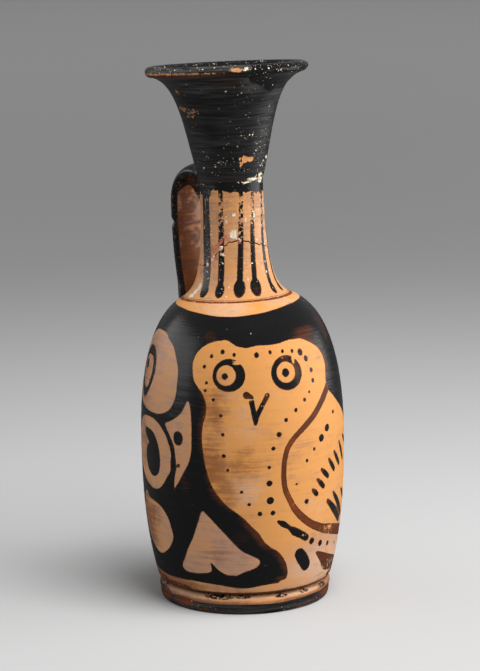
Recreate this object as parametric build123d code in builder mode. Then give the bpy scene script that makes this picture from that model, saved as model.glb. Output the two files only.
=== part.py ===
from build123d import *
import os
from math import cos, radians, sin, tan

# A small wheel-thrown oil flask: foot, body, neck and funnel mouth thrown apart and luted
# together, with a pulled strap handle. Its neck and handle were broken and mended.
# Lengths are in millimetres and angles in degrees. The flask stands on Z = 0, its axis is Z,
# and its handle is towards +Y.

# Foot: a disc with a rounded side and a shallow recess underneath
foot_height = 6.2
foot_radius = 25.5
foot_base_radius = 24.9
foot_top_radius = 25.1
foot_top_round = 1.5
foot_base_round = 0.5
recess_radius = 19.0
recess_bank = 2.5
recess_depth = 1.6

# Body: an ovoid shell whose shoulder slopes up to the neck's seat
body_height = 84.8
body_base_radius = 25.7
body_edge_round = 0.8
base_flare = 0.28
belly_radius = 30.2
belly_rise = 43.8
shoulder_hold = 15.0
shoulder_reach = 12.5
shoulder_slope = 20.0
body_wall = 3.6
body_floor = 5.0
shoulder_wall = 4.4

# Neck: a flared tube that leans back towards the handle, with a spigot in the body's top hole
neck_lean = 2.9
seat_radius = 15.3
neck_radius = 9.3
neck_length = 34.0
flare_run = 3.6
flare_rise = 2.8
flare_hold = 6.5
bore_radius = 6.0
spigot_radius = 8.4
spigot_length = 3.6
spigot_clearance = 0.2

# Mouth: a funnel with a thick round lip, luted to the neck a little askew. Its tilt is turned
# from the handle's plane towards +X.
mouth_height = 33.2
mouth_tilt = 2.2
mouth_tilt_turn = 35.0
mouth_base_radius = 9.6
rim_radius = 23.9
lip_thickness = 3.1
lip_land = 0.8
lip_run = 8.1
lip_rise = 1.4
waist_radius = 13.0
waist_rise = 12.8
mouth_wall = 3.0

# Handle: an oval strap, level at the neck, bent down over an arch and landing on the shoulder
handle_width = 13.0
handle_thickness = 5.0
handle_reach = 25.9
handle_rise = 1.2
arch_radius = 9.5
landing_radius = 21.0
landing_depth = 6.5

# Old breaks: the fill that holds them, the handle's break and the neck's wavy break.
# The neck's break is level along a line turned from the handle's plane. Its points give the
# distance across that line and the rise above the neck's seat.
fill_gap = 0.4
seam_gap = 0.6
handle_break_drop = 16.2
handle_break_tilt = 6.0
break_turn = 35.0
break_points = [(-8.1, 10.0), (-4.8, 14.4), (-0.3, 17.1), (5.2, 16.2), (10.2, 13.6)]
break_end_rise = 7.5

# Heights and planes that the pieces share
belly_height = foot_height + belly_rise
seat_height = foot_height + body_height
seat_offset = seat_radius * tan(radians(neck_lean)) / tan(radians(shoulder_slope))
seat_centre = (0, seat_offset, seat_height)
lean_direction = (0, sin(radians(neck_lean)), cos(radians(neck_lean)))
seat_plane = Plane(origin=seat_centre, x_dir=(1, 0, 0), z_dir=lean_direction)
stem_plane = Plane(origin=seat_centre, x_dir=(1, 0, 0), z_dir=-seat_plane.y_dir)
stem_axis = Axis(seat_centre, lean_direction)
neck_top_plane = seat_plane.offset(neck_length)
tilt_direction = Vector(sin(radians(mouth_tilt_turn)), cos(radians(mouth_tilt_turn)), 0)
mouth_direction = Vector(*lean_direction) + tilt_direction * tan(radians(mouth_tilt))
mouth_plane = Plane(
    origin=neck_top_plane.offset(seam_gap).origin, x_dir=(1, 0, 0), z_dir=mouth_direction
)
mouth_section = Plane(origin=mouth_plane.origin, x_dir=mouth_plane.x_dir, z_dir=-mouth_plane.y_dir)
mouth_axis = Axis(mouth_plane.origin, mouth_plane.z_dir)
lip_round = lip_thickness / 2
handle_top = seat_height + neck_length * cos(radians(neck_lean)) + handle_rise
across = (cos(radians(break_turn)), -sin(radians(break_turn)), 0)
towards = (-sin(radians(break_turn)), -cos(radians(break_turn)), 0)
break_plane = Plane(origin=seat_centre, x_dir=across, z_dir=towards)
handle_break_plane = Plane(
    origin=(0, handle_reach, handle_top - handle_break_drop),
    x_dir=(1, 0, 0),
    z_dir=(0, -sin(radians(handle_break_tilt)), cos(radians(handle_break_tilt))),
)


def draw_body(inset, bottom, top, apex):
    """Draw half of the body's outline, set in by a wall, closed along the axis."""
    base = (body_base_radius - inset, bottom)
    belly = (belly_radius - inset, belly_height)
    shoulder = (seat_radius + shoulder_reach - inset, top - shoulder_reach * tan(radians(shoulder_slope)))
    hold = (belly_height - bottom) / 3
    side = Bezier(
        base,
        (base[0] + base_flare * hold, bottom + hold),
        (belly[0], belly_height - hold),
        belly,
    )
    crown = Bezier(belly, (belly[0], belly_height + shoulder_hold), shoulder, (seat_radius, top))
    Polyline(crown @ 1, (0, apex), (0, bottom), side @ 0)


def draw_neck_side():
    """Draw the neck's outside from its seat up to the seam."""
    return Bezier(
        (seat_radius, 0),
        (seat_radius - flare_run, flare_rise),
        (neck_radius, flare_hold),
        (neck_radius, neck_length),
    )


def draw_mouth_side():
    """Draw the mouth's outside from the seam up to the underside of the lip."""
    lip = (rim_radius - lip_round, mouth_height - lip_thickness)
    return Bezier(
        (mouth_base_radius, 0),
        (waist_radius, waist_rise),
        (lip[0] - lip_run, lip[1] - lip_rise),
        lip,
    )


# Foot
with BuildPart() as foot:
    with BuildSketch(Plane.XZ):
        with BuildLine():
            Polyline(
                (0, foot_height),
                (0, recess_depth),
                (recess_radius - recess_bank, recess_depth),
                (recess_radius, 0),
                (foot_base_radius, 0),
            )
            side = ThreePointArc(
                (foot_base_radius, 0),
                (foot_radius, foot_height / 2),
                (foot_top_radius, foot_height),
            )
            Line(side @ 1, (0, foot_height))
        make_face()
    revolve(axis=Axis.Z)
    fillet(foot.edges().filter_by(GeomType.CIRCLE).sort_by(Axis.Z)[-1], foot_top_round)
    base_rims = foot.edges().filter_by(GeomType.CIRCLE).group_by(Axis.Z)[0]
    fillet(base_rims.sort_by(SortBy.RADIUS)[-1], foot_base_round)

# Solid form of the body, before it is hollowed
with BuildPart() as body_form:
    with BuildSketch(Plane.XZ):
        with BuildLine():
            cone_rise = seat_radius * tan(radians(shoulder_slope))
            draw_body(0, foot_height, seat_height, seat_height + cone_rise)
        make_face()
    revolve(axis=Axis.Z)
    fillet(body_form.edges().filter_by(GeomType.CIRCLE).sort_by(Axis.Z)[0], body_edge_round)

# Body: cut flat for the neck, hollowed, with the hole that takes the neck's spigot
with BuildPart() as body:
    add(body_form.part)
    split(bisect_by=seat_plane, keep=Keep.BOTTOM)
    with BuildSketch(Plane.XZ):
        with BuildLine():
            ceiling = seat_height - shoulder_wall
            draw_body(body_wall, foot_height + body_floor, ceiling, ceiling)
        make_face()
    revolve(axis=Axis.Z, mode=Mode.SUBTRACT)
    with BuildSketch(seat_plane):
        Circle(spigot_radius + spigot_clearance)
    extrude(amount=-2 * shoulder_wall, mode=Mode.SUBTRACT)

# Solid form of the neck and mouth together, which the handle is cut to
with BuildPart() as stem:
    with BuildSketch(stem_plane):
        with BuildLine():
            neck_side = draw_neck_side()
            into_mouth = neck_length + 4 * seam_gap
            Polyline(neck_side @ 1, (neck_radius, into_mouth), (0, into_mouth), (0, 0), neck_side @ 0)
        make_face()
    revolve(axis=stem_axis)
    with BuildSketch(mouth_section):
        with BuildLine():
            mouth_side = draw_mouth_side()
            Polyline(mouth_side @ 1, (0, mouth_height - lip_thickness), (0, 0), mouth_side @ 0)
        make_face()
    revolve(axis=mouth_axis)

# Solid form of the whole neck tube, before it broke
with BuildPart() as neck_form:
    with BuildSketch(stem_plane):
        with BuildLine():
            tube_side = draw_neck_side()
            Polyline(
                tube_side @ 1,
                (bore_radius, neck_length),
                (bore_radius, -spigot_length),
                (spigot_radius, -spigot_length),
                (spigot_radius, 0),
                tube_side @ 0,
            )
        make_face()
    revolve(axis=stem_axis)

# Block that fills all below the middle of the neck's break
with BuildPart() as below_break:
    with BuildSketch(break_plane):
        with BuildLine():
            edge = Spline((-seat_radius, break_end_rise), *break_points, (seat_radius, break_end_rise))
            Polyline(
                edge @ 1,
                (2 * seat_radius, break_end_rise),
                (2 * seat_radius, -2 * spigot_length),
                (-2 * seat_radius, -2 * spigot_length),
                (-2 * seat_radius, break_end_rise),
                edge @ 0,
            )
        make_face()
    extrude(amount=2 * seat_radius, both=True)

# Neck: one tube, broken along a wavy line and held by a thin fill
with BuildPart() as neck_lower:
    add(neck_form.part)
    with Locations((0, 0, -fill_gap / 2)):
        add(below_break.part, mode=Mode.INTERSECT)

with BuildPart() as neck_break_fill:
    add(neck_form.part)
    with Locations((0, 0, fill_gap / 2)):
        add(below_break.part, mode=Mode.INTERSECT)
    with Locations((0, 0, -fill_gap / 2)):
        add(below_break.part, mode=Mode.SUBTRACT)

with BuildPart() as neck_upper:
    add(neck_form.part)
    with Locations((0, 0, fill_gap / 2)):
        add(below_break.part, mode=Mode.SUBTRACT)

# Fill in the seam between the neck and the mouth, a wedge because the mouth is askew
with BuildPart() as mouth_seam_fill:
    with BuildSketch(neck_top_plane):
        Circle(neck_radius)
        Circle(bore_radius, mode=Mode.SUBTRACT)
    extrude(amount=3 * seam_gap)
    split(bisect_by=mouth_plane, keep=Keep.BOTTOM)

# Mouth
with BuildPart() as mouth:
    with BuildSketch(mouth_section):
        with BuildLine():
            outside = draw_mouth_side()
            lip = ThreePointArc(
                outside @ 1,
                (rim_radius, mouth_height - lip_round),
                (rim_radius - lip_round, mouth_height),
            )
            inner_edge = rim_radius - lip_round - lip_land
            Line(lip @ 1, (inner_edge, mouth_height))
            inside = Bezier(
                (inner_edge, mouth_height),
                (inner_edge - lip_run, mouth_height - lip_thickness - lip_rise),
                (waist_radius - mouth_wall, waist_rise),
                (bore_radius, 0),
            )
            Line(inside @ 1, outside @ 0)
        make_face()
    revolve(axis=mouth_axis)

# Handle: its centre line leaves the neck level and comes down to the shoulder
with BuildLine(Plane.YZ) as handle_path:
    root = Line((seat_offset, handle_top), (handle_reach - arch_radius, handle_top))
    arch = TangentArc(root @ 1, (handle_reach, handle_top - arch_radius), tangent=root % 1)
    TangentArc(arch @ 1, (landing_radius, seat_height - landing_depth), tangent=arch % 1)

# Solid form of the whole handle, cut to the stem and the shoulder that carry it
with BuildPart() as handle_form:
    with BuildSketch(Plane(origin=root @ 0, x_dir=(1, 0, 0), z_dir=root % 0)):
        Ellipse(handle_width / 2, handle_thickness / 2)
    sweep(path=handle_path.line)
    add(stem.part, mode=Mode.SUBTRACT)
    add(body_form.part, mode=Mode.SUBTRACT)

with BuildPart() as handle_upper:
    add(handle_form.part)
    split(bisect_by=handle_break_plane.offset(fill_gap / 2), keep=Keep.TOP)

with BuildPart() as handle_break_fill:
    add(handle_form.part)
    split(bisect_by=handle_break_plane.offset(fill_gap / 2), keep=Keep.BOTTOM)
    split(bisect_by=handle_break_plane.offset(-fill_gap / 2), keep=Keep.TOP)

with BuildPart() as handle_lower:
    add(handle_form.part)
    split(bisect_by=handle_break_plane.offset(-fill_gap / 2), keep=Keep.BOTTOM)

pieces = {
    "foot": foot,
    "body": body,
    "neck_lower": neck_lower,
    "neck_break_fill": neck_break_fill,
    "neck_upper": neck_upper,
    "mouth_seam_fill": mouth_seam_fill,
    "mouth": mouth,
    "handle_upper": handle_upper,
    "handle_break_fill": handle_break_fill,
    "handle_lower": handle_lower,
}
os.makedirs("parts", exist_ok=True)
for name, piece in pieces.items():
    piece.part.label = name
    export_step(piece.part, f"parts/{name}.step")
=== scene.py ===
import math

import bmesh
import bpy
import numpy as np
from mathutils import Matrix, Vector, noise


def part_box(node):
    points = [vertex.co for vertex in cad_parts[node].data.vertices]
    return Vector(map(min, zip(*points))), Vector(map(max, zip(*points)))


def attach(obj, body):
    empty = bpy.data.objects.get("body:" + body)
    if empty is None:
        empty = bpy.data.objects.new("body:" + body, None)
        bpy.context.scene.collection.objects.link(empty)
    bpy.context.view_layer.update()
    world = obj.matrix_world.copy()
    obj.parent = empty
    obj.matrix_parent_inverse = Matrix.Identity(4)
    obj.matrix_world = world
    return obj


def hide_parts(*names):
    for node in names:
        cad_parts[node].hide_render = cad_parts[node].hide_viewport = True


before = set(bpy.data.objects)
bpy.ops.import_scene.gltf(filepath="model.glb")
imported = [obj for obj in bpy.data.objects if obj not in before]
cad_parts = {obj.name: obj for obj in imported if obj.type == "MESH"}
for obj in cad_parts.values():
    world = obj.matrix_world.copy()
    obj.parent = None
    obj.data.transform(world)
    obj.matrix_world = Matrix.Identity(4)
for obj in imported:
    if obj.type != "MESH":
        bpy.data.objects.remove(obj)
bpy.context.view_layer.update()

bl_info = {
    "name": "Painted oil flask",
    "version": (1, 0, 0),
    "blender": (4, 5, 0),
    "location": "View3D > Sidebar > Flask",
    "description": "Dresses a mended red-figure oil flask: clay, gloss, painted owl, wear and mends",
    "category": "Mesh",
}

# The frame is in metres with the handle towards +Y. Painted points are in degrees round from the
# front, which faces -Y, towards +X, and in millimetres up from the table or up the neck.
MM = 0.001
WEDGES = 8
CREASE_ANGLE = math.radians(50)
_, foot_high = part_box("foot")
_, body_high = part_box("body")
mouth_low, mouth_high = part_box("mouth")
_, seam_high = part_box("mouth_seam_fill")

# Owl, left in the colour of the clay. Its right side runs down to the bare band above the foot.
OWL = [
    (-48, 82), (-54, 81.5), (-59, 80.5), (-62.5, 79.2), (-65, 77.5), (-66, 75.5), (-65.5, 73),
    (-64, 70.5), (-61, 68.7), (-58, 67), (-55.5, 63.7), (-56, 60.7), (-57.5, 57.7), (-58, 54.2),
    (-57.5, 51), (-56.5, 47), (-54.5, 42.7), (-52, 39.5), (-48, 36.5), (-44, 34.2), (-39, 32.2),
    (-35, 30.5), (-31, 28.2), (-26.5, 25.7), (-23.5, 23.2), (-19.5, 21.2), (-15, 19.7), (-11, 17.2),
    (-8.5, 14.7), (-7.5, 12.2), (-8.5, 10.5), (-12, 10), (-15, 8), (-10, 4), (30, 4), (72, 4), (76, 10),
    (77.5, 20), (75, 31), (69, 40), (61.5, 47), (53, 52), (45, 56.2), (36, 60), (30, 62.5), (24.5, 65.2),
    (23, 67.5), (24, 70), (25.5, 72.7), (25, 75), (23.5, 76.7), (20.5, 78.2), (15, 79.7), (9, 81),
    (3, 81.2), (-3, 81.2), (-9, 80.7), (-14.5, 80.5), (-20.5, 80.5), (-25.5, 80.5), (-31.5, 80),
    (-35, 80.2), (-39, 80.7), (-44, 82),
]

# Leaves and tendrils beside the owl, also left in clay. A point given twice is a sharp corner.
HEART_LEAF = [
    (-59, 32.2), (-56, 31), (-52.5, 29.2), (-45, 25), (-38, 21), (-33.5, 19.5), (-29.5, 18.5),
    (-26, 17.2), (-27, 15.5), (-31, 14.5), (-35.5, 13.7), (-40, 12.7), (-43.5, 12.7), (-47, 13),
    (-51, 14.2), (-53.5, 15.5), (-56, 16.7), (-56, 16.7), (-55.5, 14), (-57.5, 13.2), (-62.5, 12.7),
    (-68, 12.5), (-73.5, 12.7), (-76, 14.2), (-73, 17), (-69.5, 20.5), (-66, 23.5), (-63.5, 26.5),
    (-61, 29.7),
]
ROUND_LEAF = [
    (-106.5, 82.2), (-97.5, 82), (-91.5, 80.7), (-85, 79.2), (-80.5, 76.7), (-77, 73.7), (-76, 70.5),
    (-76, 66.5), (-77.5, 63.5), (-80.5, 61.2), (-84.5, 60), (-89.5, 59.2), (-96, 59), (-103, 59.2),
    (-113, 60.3), (-121, 63), (-126, 68), (-127, 74), (-123, 79), (-115, 81.7),
]
VOLUTE = [
    (-103.5, 57.2), (-95.5, 57.2), (-89, 56), (-83.5, 53.5), (-80.5, 50.7), (-79, 48), (-79.5, 45.5),
    (-80, 42.7), (-82.5, 41), (-87, 38), (-91.5, 36.5), (-97.5, 36.2), (-105, 37.2), (-112, 39.5),
    (-118, 43.5), (-120, 48), (-117, 53), (-111, 56.3),
]
SIDE_LEAF = [
    (-67.5, 64.5), (-66, 63.5), (-65, 60.5), (-64.5, 57), (-64.5, 52.7), (-65, 49.2), (-67, 46),
    (-71, 42.5), (-74, 40), (-77, 38), (-77, 38), (-76.5, 41.2), (-75, 44.2), (-75.5, 47.2),
    (-76.5, 50.5), (-79.5, 53.5), (-83, 56.2), (-83, 57), (-78, 58.2), (-72.5, 60.2), (-69.5, 62.5),
]
LOW_DROP = [
    (-109, 34), (-103, 32.5), (-95, 32), (-88.5, 30.7), (-84, 28.2), (-82, 25.5), (-81, 22.7),
    (-83.5, 20.2), (-88, 18), (-95, 16.2), (-101, 16.5), (-108, 18.5), (-114, 23), (-115, 29),
]
LEAVES = [HEART_LEAF, ROUND_LEAF, VOLUTE, SIDE_LEAF, LOW_DROP]
VOLUTE_DROP = [
    (-106, 53.7), (-99, 53.7), (-93.5, 52.5), (-90, 49.7), (-88.5, 46.7), (-88.5, 44.2), (-90, 41.5),
    (-94, 40), (-98.5, 40), (-103, 42), (-105, 45), (-104, 48), (-101, 49.5), (-105, 51.5),
]
LEAF_CURL = [
    (-112, 77.5), (-105.5, 77), (-101, 75.4), (-98.7, 73.2), (-98.2, 70.6), (-100.3, 67.5), (-104, 64.6),
    (-108, 62.6), (-113, 62.5), (-118.5, 65), (-121.5, 69), (-121, 73.5), (-117.5, 76.6),
]
CURL_EYE = [
    (-109.4, 74.7), (-105.9, 74.6), (-103.3, 73.1), (-102.4, 70.8), (-103.8, 68), (-106.4, 65.7),
    (-110.5, 65.2), (-115, 67), (-117.5, 70), (-116.5, 73), (-113.5, 74.6),
]
CURL_DROP = (-113.2, 71.8, 1.5)
SIDE_LEAF_SPOTS = [(-73.5, 53.2, 1.75), (-73.5, 45, 0.55)]
MIRROR_LINE = 6.0
BACK_CENTRE = 186.0

# Owl's face, chest and wing, in black. Rings are centre, outer and inner half sizes, shift of the hole.
EYES = [
    ((-42.7, 72.5), (5.05, 4.65), (2.95, 2.85), (-0.8, 0.0)),
    ((-7.0, 72.4), (5.3, 4.95), (3.15, 2.95), (-0.35, 0.2)),
]
PUPILS = [(-45, 72.2, 1.0), (-8, 72.5, 1.25)]
NICKS = [((-37.8, 75.9), (1.5, 0.4)), ((-1.6, 75.9), (0.45, 1.2)), ((-31.4, 65.6), (1.8, 0.28))]
BEAK = [
    ([(-32.5, 66.9), (-30.3, 66), (-29.3, 64), (-28.4, 61.2), (-27.7, 58.6)], (2.1, 1.9, 1.6, 1.5, 1.1)),
    ([(-20.4, 66.6), (-22.3, 65), (-24.5, 63), (-26.5, 61), (-27.7, 58.6)], (1.5, 1.4, 1.4, 1.4, 1.0)),
]
FACE_DOTS = [
    (-54, 77.7, 0.61), (-47, 79, 0.74), (-39.5, 78.2, 0.61), (-25.5, 78, 0.83), (-16.5, 78.5, 0.61),
    (-8, 78.5, 0.57), (-1, 78.2, 0.61), (5, 77.5, 1.05), (8.5, 75.5, 0.9), (11, 72, 0.75), (11, 69, 0.69),
    (7, 66, 0.48), (3, 64, 0.61), (-58, 74.7, 0.61), (-56, 70.2, 0.52), (-56.5, 68, 0.52),
    (-51.5, 65.5, 0.54),
]
CHEST_DOTS = [
    (-3.5, 61.5, 0.65), (-10, 59, 0.65), (-14.5, 55, 0.83), (-18, 51, 0.65), (-20.5, 45.5, 0.57),
    (-47, 61, 0.57), (-46, 55.5, 0.57), (-45.5, 49.2, 0.61), (-43.5, 45, 0.52), (-36, 38.5, 0.52),
    (-32, 34.7, 0.57), (-26, 31.7, 0.74), (-20.5, 40.7, 0.91), (-20, 35.5, 1.13), (-18.5, 31.7, 0.74),
]
WING_DOTS = [
    (27.5, 58.2, 0.65), (20, 54.2, 1.15), (14.5, 51.7, 1.15), (8.5, 49, 0.58), (3, 46, 0.55),
    (-4, 39.5, 0.45), (3, 33.7, 0.82), (8.5, 21, 1.1), (16.5, 19.5, 1.0), (25, 18.5, 0.8), (37, 17, 0.6),
]
FEATHERS = [
    ((42.5, 49.5), (53, 45.7), 1.0), ((35, 48.4), (42, 42.6), 1.0), ((27.5, 46.3), (34.5, 41.9), 1.0),
    ((21.5, 44.6), (27.5, 40.9), 1.0), ((14.5, 42.3), (20.5, 39.6), 1.0), ((11, 39.6), (16.5, 36.9), 1.0),
    ((7.3, 36.8), (10.7, 35.2), 1.0), ((21, 32), (39.5, 24.2), 1.5), ((27.5, 33.7), (43, 25.7), 1.3),
    ((40.5, 33.2), (51, 29.2), 1.2), ((50, 50), (59, 42), 1.2), ((52, 42), (61, 34), 1.2),
]
FEATHER_WIDTHS = (0.95, 1.55, 1.75, 1.5)
CHAIN = [(-15.3, 28.9), (-12, 27.9), (-8.5, 26.7), (-4.5, 25.1), (0, 23.8), (3.6, 22.6)]
CHAIN_WIDTHS = (0.9, 1.9, 1.4, 2.5, 2.4, 2.3)
FOOT_SPOT = [(-0.2, 17.8), (2.6, 16), (5.6, 13.8)]
FOOT_SPOT_WIDTHS = (3.6, 4.1, 3.7)

# Dilute brown: the line of the wing and the tail below it
WING_LINE = [
    (24, 66.2), (16.5, 62.5), (9.5, 59.2), (2.5, 56.5), (-3.5, 54.2), (-7.5, 52.2), (-10, 50),
    (-11.5, 47), (-12, 44), (-12, 41.5), (-11, 38.2), (-8, 34.7), (-4.5, 31.7), (0.5, 29), (7, 26.5),
    (16.5, 24.2), (27, 22.7), (45.5, 20.2), (62, 18.5), (76, 19),
]
WING_LINE_WIDTHS = (
    2.4, 2.2, 2.0, 1.9, 1.7, 1.7, 1.6, 1.6, 1.6, 1.6,
    1.7, 1.8, 2.1, 2.3, 2.4, 2.7, 3.2, 3.4, 3.0, 2.0,
)
TAIL = [(13.5, 17.2), (30, 14.5), (46, 12), (58, 10.5), (58, 7.5), (49, 8.2), (27, 9.7), (19.5, 13.2)]

# Places where the gloss fired thin and brown, as degrees, millimetres, half sizes and strength
THIN_GLOSS = [
    (15, 82.6, 15, 2.4, 0.85), (-57, 83, 7, 2.5, 0.6), (-70, 40, 5, 6, 0.4), (-90, 85, 14, 4, 0.4),
    (-40, 24, 10, 4, 0.4), (42, 82, 14, 7, 0.5),
]
BROWN_EDGES = [
    (-57, 58, 14, 14, 0.75), (-50, 38, 16, 14, 0.7), (-30, 25, 18, 10, 0.95), (-12, 15, 10, 8, 0.9),
    (14, 82, 18, 5, 0.8), (32, 74, 10, 12, 1.1),
]

# Marks rubbed thin on the owl's face, in the same form
RUBBED_MARKS = [
    (-38.5, 76, 2.6, 1.0, 0.9), (-46, 76, 2, 0.8, 0.4), (-9, 76.8, 3.5, 0.8, 0.7),
    (-1.5, 75.4, 1.2, 1.4, 1.0), (-30.6, 65.2, 3.4, 0.5, 1.0), (-23.5, 64, 1.6, 1.4, 0.7),
    (-20.6, 66.6, 1.6, 0.8, 0.8), (1.5, 23.6, 3, 1.0, 0.8),
]

# Marks painted with thinner slip, which fired brown, in the same form
BROWN_MARKS = [
    (-8, 76.4, 6, 1.6, 0.9), (-1, 73.2, 4, 4.5, 0.9), (-32, 66.6, 4, 1.6, 0.9),
    (-21.5, 65.6, 4, 2.2, 0.8), (13, 27, 40, 2.2, 0.5),
]

# Clay rubbed pale, clay left dull, and clay darkened by soot and by painted shade, in the same form
PALE_CLAY = [
    (-34, 56, 15, 5, 0.4), (-32, 63, 11, 6, 0.3), (-16, 68, 10, 6, 0.15), (-40, 70, 9, 10, 0.15),
    (-33, 39, 13, 6, 0.5), (8, 30, 14, 6, 0.35), (24, 36, 12, 8, 0.2), (30, 13, 50, 8, 0.75),
]
DULL_CLAY = [(30, 15, 48, 10, 1.0), (-50, 54, 8, 14, 0.3), (-90, 7, 60, 4, 0.9), (0, 7, 80, 2.5, 0.8)]
# The darkened patches on the left of the chest and among the left leaves are painted shade on the side away
# from the light, the thin bands at the base are painted shade where the body meets the foot, and the rest are
# sooty mottles
SOOTY_AND_SHADED_CLAY = [
    (-53, 61, 11, 10, 0.7), (-54, 48, 12, 13, 1.0), (-46, 38, 10, 6, 0.65), (-35, 47, 13, 7, 0.5),
    (-25, 52, 10, 10, 0.2), (-30, 70, 7, 4, 0.2), (-98, 7.6, 44, 3.4, 1.8), (-20, 6.8, 70, 0.9, 0.7),
    (60, 7.2, 40, 1.6, 0.6), (-110, 68, 12, 14, 0.5), (-108, 27, 18, 13, 1.2), (-108, 48, 12, 10, 0.5),
    (-52, 19, 10, 3, 0.3),
]

# Upper edge of the gloss on the shoulder, which stops short of the neck
RING_EDGE = [
    (-180, 89.4), (-135, 88.9), (-99, 88.9), (-75, 88.55), (-55, 88.1), (-40, 88.15), (-20, 88.7),
    (-4, 89.3), (15, 89.85), (40, 90.05), (90, 89.8), (180, 89.4),
]

# Neck tongues: degrees at the foot, half way and top, width and the width of the drop at the foot
TONGUES = [
    (-80, -95, -97, 2.2, 2.4), (-78.5, -85, -85.5, 2.2, 2.6), (-56.5, -57, -55.5, 2.0, 2.9),
    (-31.5, -22.5, -18, 1.85, 3.6), (-8.5, -0.5, 5.5, 1.75, 3.6), (20, 25, 33.5, 1.6, 2.2),
    (38.5, 49, 55, 1.4, 2.0), (63, 73, 78, 1.6, 2.8), (88, 96, 101, 1.6, 2.8), (112, 119, 124, 1.5, 2.6),
]
TONGUE_FOOT = 0.6
TONGUE_TOP = 29.5

# Lower edge of the black at the top of the neck
NECK_BAND = [
    (-180, 30.6), (-104, 30), (-97, 29), (-79, 29.2), (-74, 31.4), (-61, 32), (-50, 31.3), (-36, 31),
    (-21, 31.2), (-8, 30.8), (7, 30.3), (33, 30), (90, 30.4), (180, 30.6),
]

# Neck break: distance across the line turned from the handle's plane, and rise above the neck's seat
BREAK_TURN = 35.0
BREAK_EDGE = [
    (-15.3, 7.5), (-8.1, 10.0), (-4.8, 14.4), (-0.3, 17.1), (5.2, 16.2), (10.2, 13.6), (15.3, 7.5),
]

# Mouth: edge of the thick gloss under the lip, chips down to the clay, scuffs and grit
DRIP = [
    (-16, 65), (-14.5, 63), (-7, 62.2), (-1, 61.4), (2, 61.6), (8, 60.2), (14.5, 59.6), (19, 60.1),
    (21, 61.6), (33, 61.2), (50, 62), (66, 63.2), (74, 65.4), (72, 68.5), (30, 68.5), (-12, 68.5),
]
MOUTH_CHIPS = [
    (-12, 40.2, 8, 1.4, 1.0), (-2, 40.0, 8, 1.0, 1.0), (-17.5, 38.9, 4, 1.1, 0.95),
    (-19, 40.4, 4, 0.9, 0.9), (-27.5, 66.5, 6, 0.85, 1.0),
]
MOUTH_SCUFFS = [
    (-93, 60.4, 5, 1.2, 1.0), (-98, 55.4, 16, 1.3, 1.0), (-80, 54.6, 15, 1.3, 0.9),
    (-86, 53.2, 14, 1.0, 0.8), (-86, 57, 17, 1.4, 0.4), (-84, 51.5, 12, 1.6, 0.4),
]
MOUTH_GRIT = [
    (8, 44, 34, 12, 0.5), (25, 67, 60, 3, 0.45), (-45, 38, 60, 6, 0.35), (30, 38, 30, 5, 0.9),
    (-10, 57, 40, 9, 0.14), (-18, 46, 30, 11, 0.25), (-80, 67.6, 60, 1.2, 0.9), (150, 67.6, 80, 1.2, 0.6),
]
MOUTH_FILL = [
    (-20.5, 66.5, 2.6, 0.75, 1.0), (40, 40.2, 7, 0.7, 1.0), (30, 39.2, 4, 0.5, 0.9),
    (27, 35.3, 9, 0.8, 1.0), (14, 35, 4, 0.5, 0.8),
]
# Grey dust on the mouth's gloss, which also stands for painted sheen, in the same form
MOUTH_DUST_AND_SHEEN = [(-8, 62, 16, 4, 1.0), (40, 58, 40, 3, 0.8), (30, 50, 25, 9, 0.35), (-60, 62, 40, 4, 0.3)]

# Where the fill was squeezed out of the neck's break: degrees and spread
SQUEEZED = [(-84, 3), (-73, 4), (-58, 5), (-25, 2.5), (110, 12)]

# Stains of pink glue and cream fill on the neck, as degrees, rise, half sizes and strength
GLUE_STAINS = [
    (-85, 10.9, 4, 1.0, 1.0), (-79, 12.5, 4, 1.2, 0.9), (-74, 14.2, 5, 1.6, 1.0),
    (-68, 14.4, 4, 1.2, 0.9), (-63, 15.4, 5, 1.3, 0.9), (-57, 16.6, 6, 1.4, 1.0),
    (-50.5, 18, 5, 1.1, 1.0), (-45, 17.4, 4, 0.9, 0.9), (-24, 16.5, 4, 1.0, 1.0),
    (-67, 11.9, 6, 0.9, 0.8), (-58, 13.8, 5, 0.9, 0.7), (-97.5, 7.2, 6, 2.2, 0.9),
    (40, 33.6, 30, 0.4, 0.5), (-54, 34.3, 22, 0.4, 1.0),
]
CREAM_STAINS = [
    (-34.5, 18.7, 9, 1.7, 1.0), (-93, 3.4, 5, 1.6, 1.1), (-97, 1.9, 6, 1.2, 1.1),
    (-100, 0.7, 7, 0.9, 1.1), (-54.5, 12.8, 6, 0.8, 0.9), (-33, 24.3, 4, 0.8, 1.0),
    (-12, 22.7, 2.2, 1.0, 0.8), (6.5, 23.3, 2.6, 2.2, 0.9), (-47, 22.5, 3, 0.8, 0.8),
    (-16, 5.7, 2.4, 0.9, 0.8), (30, 33.5, 13, 0.8, 1.0), (-5, 33.6, 13, 0.4, 1.0),
]

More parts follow.
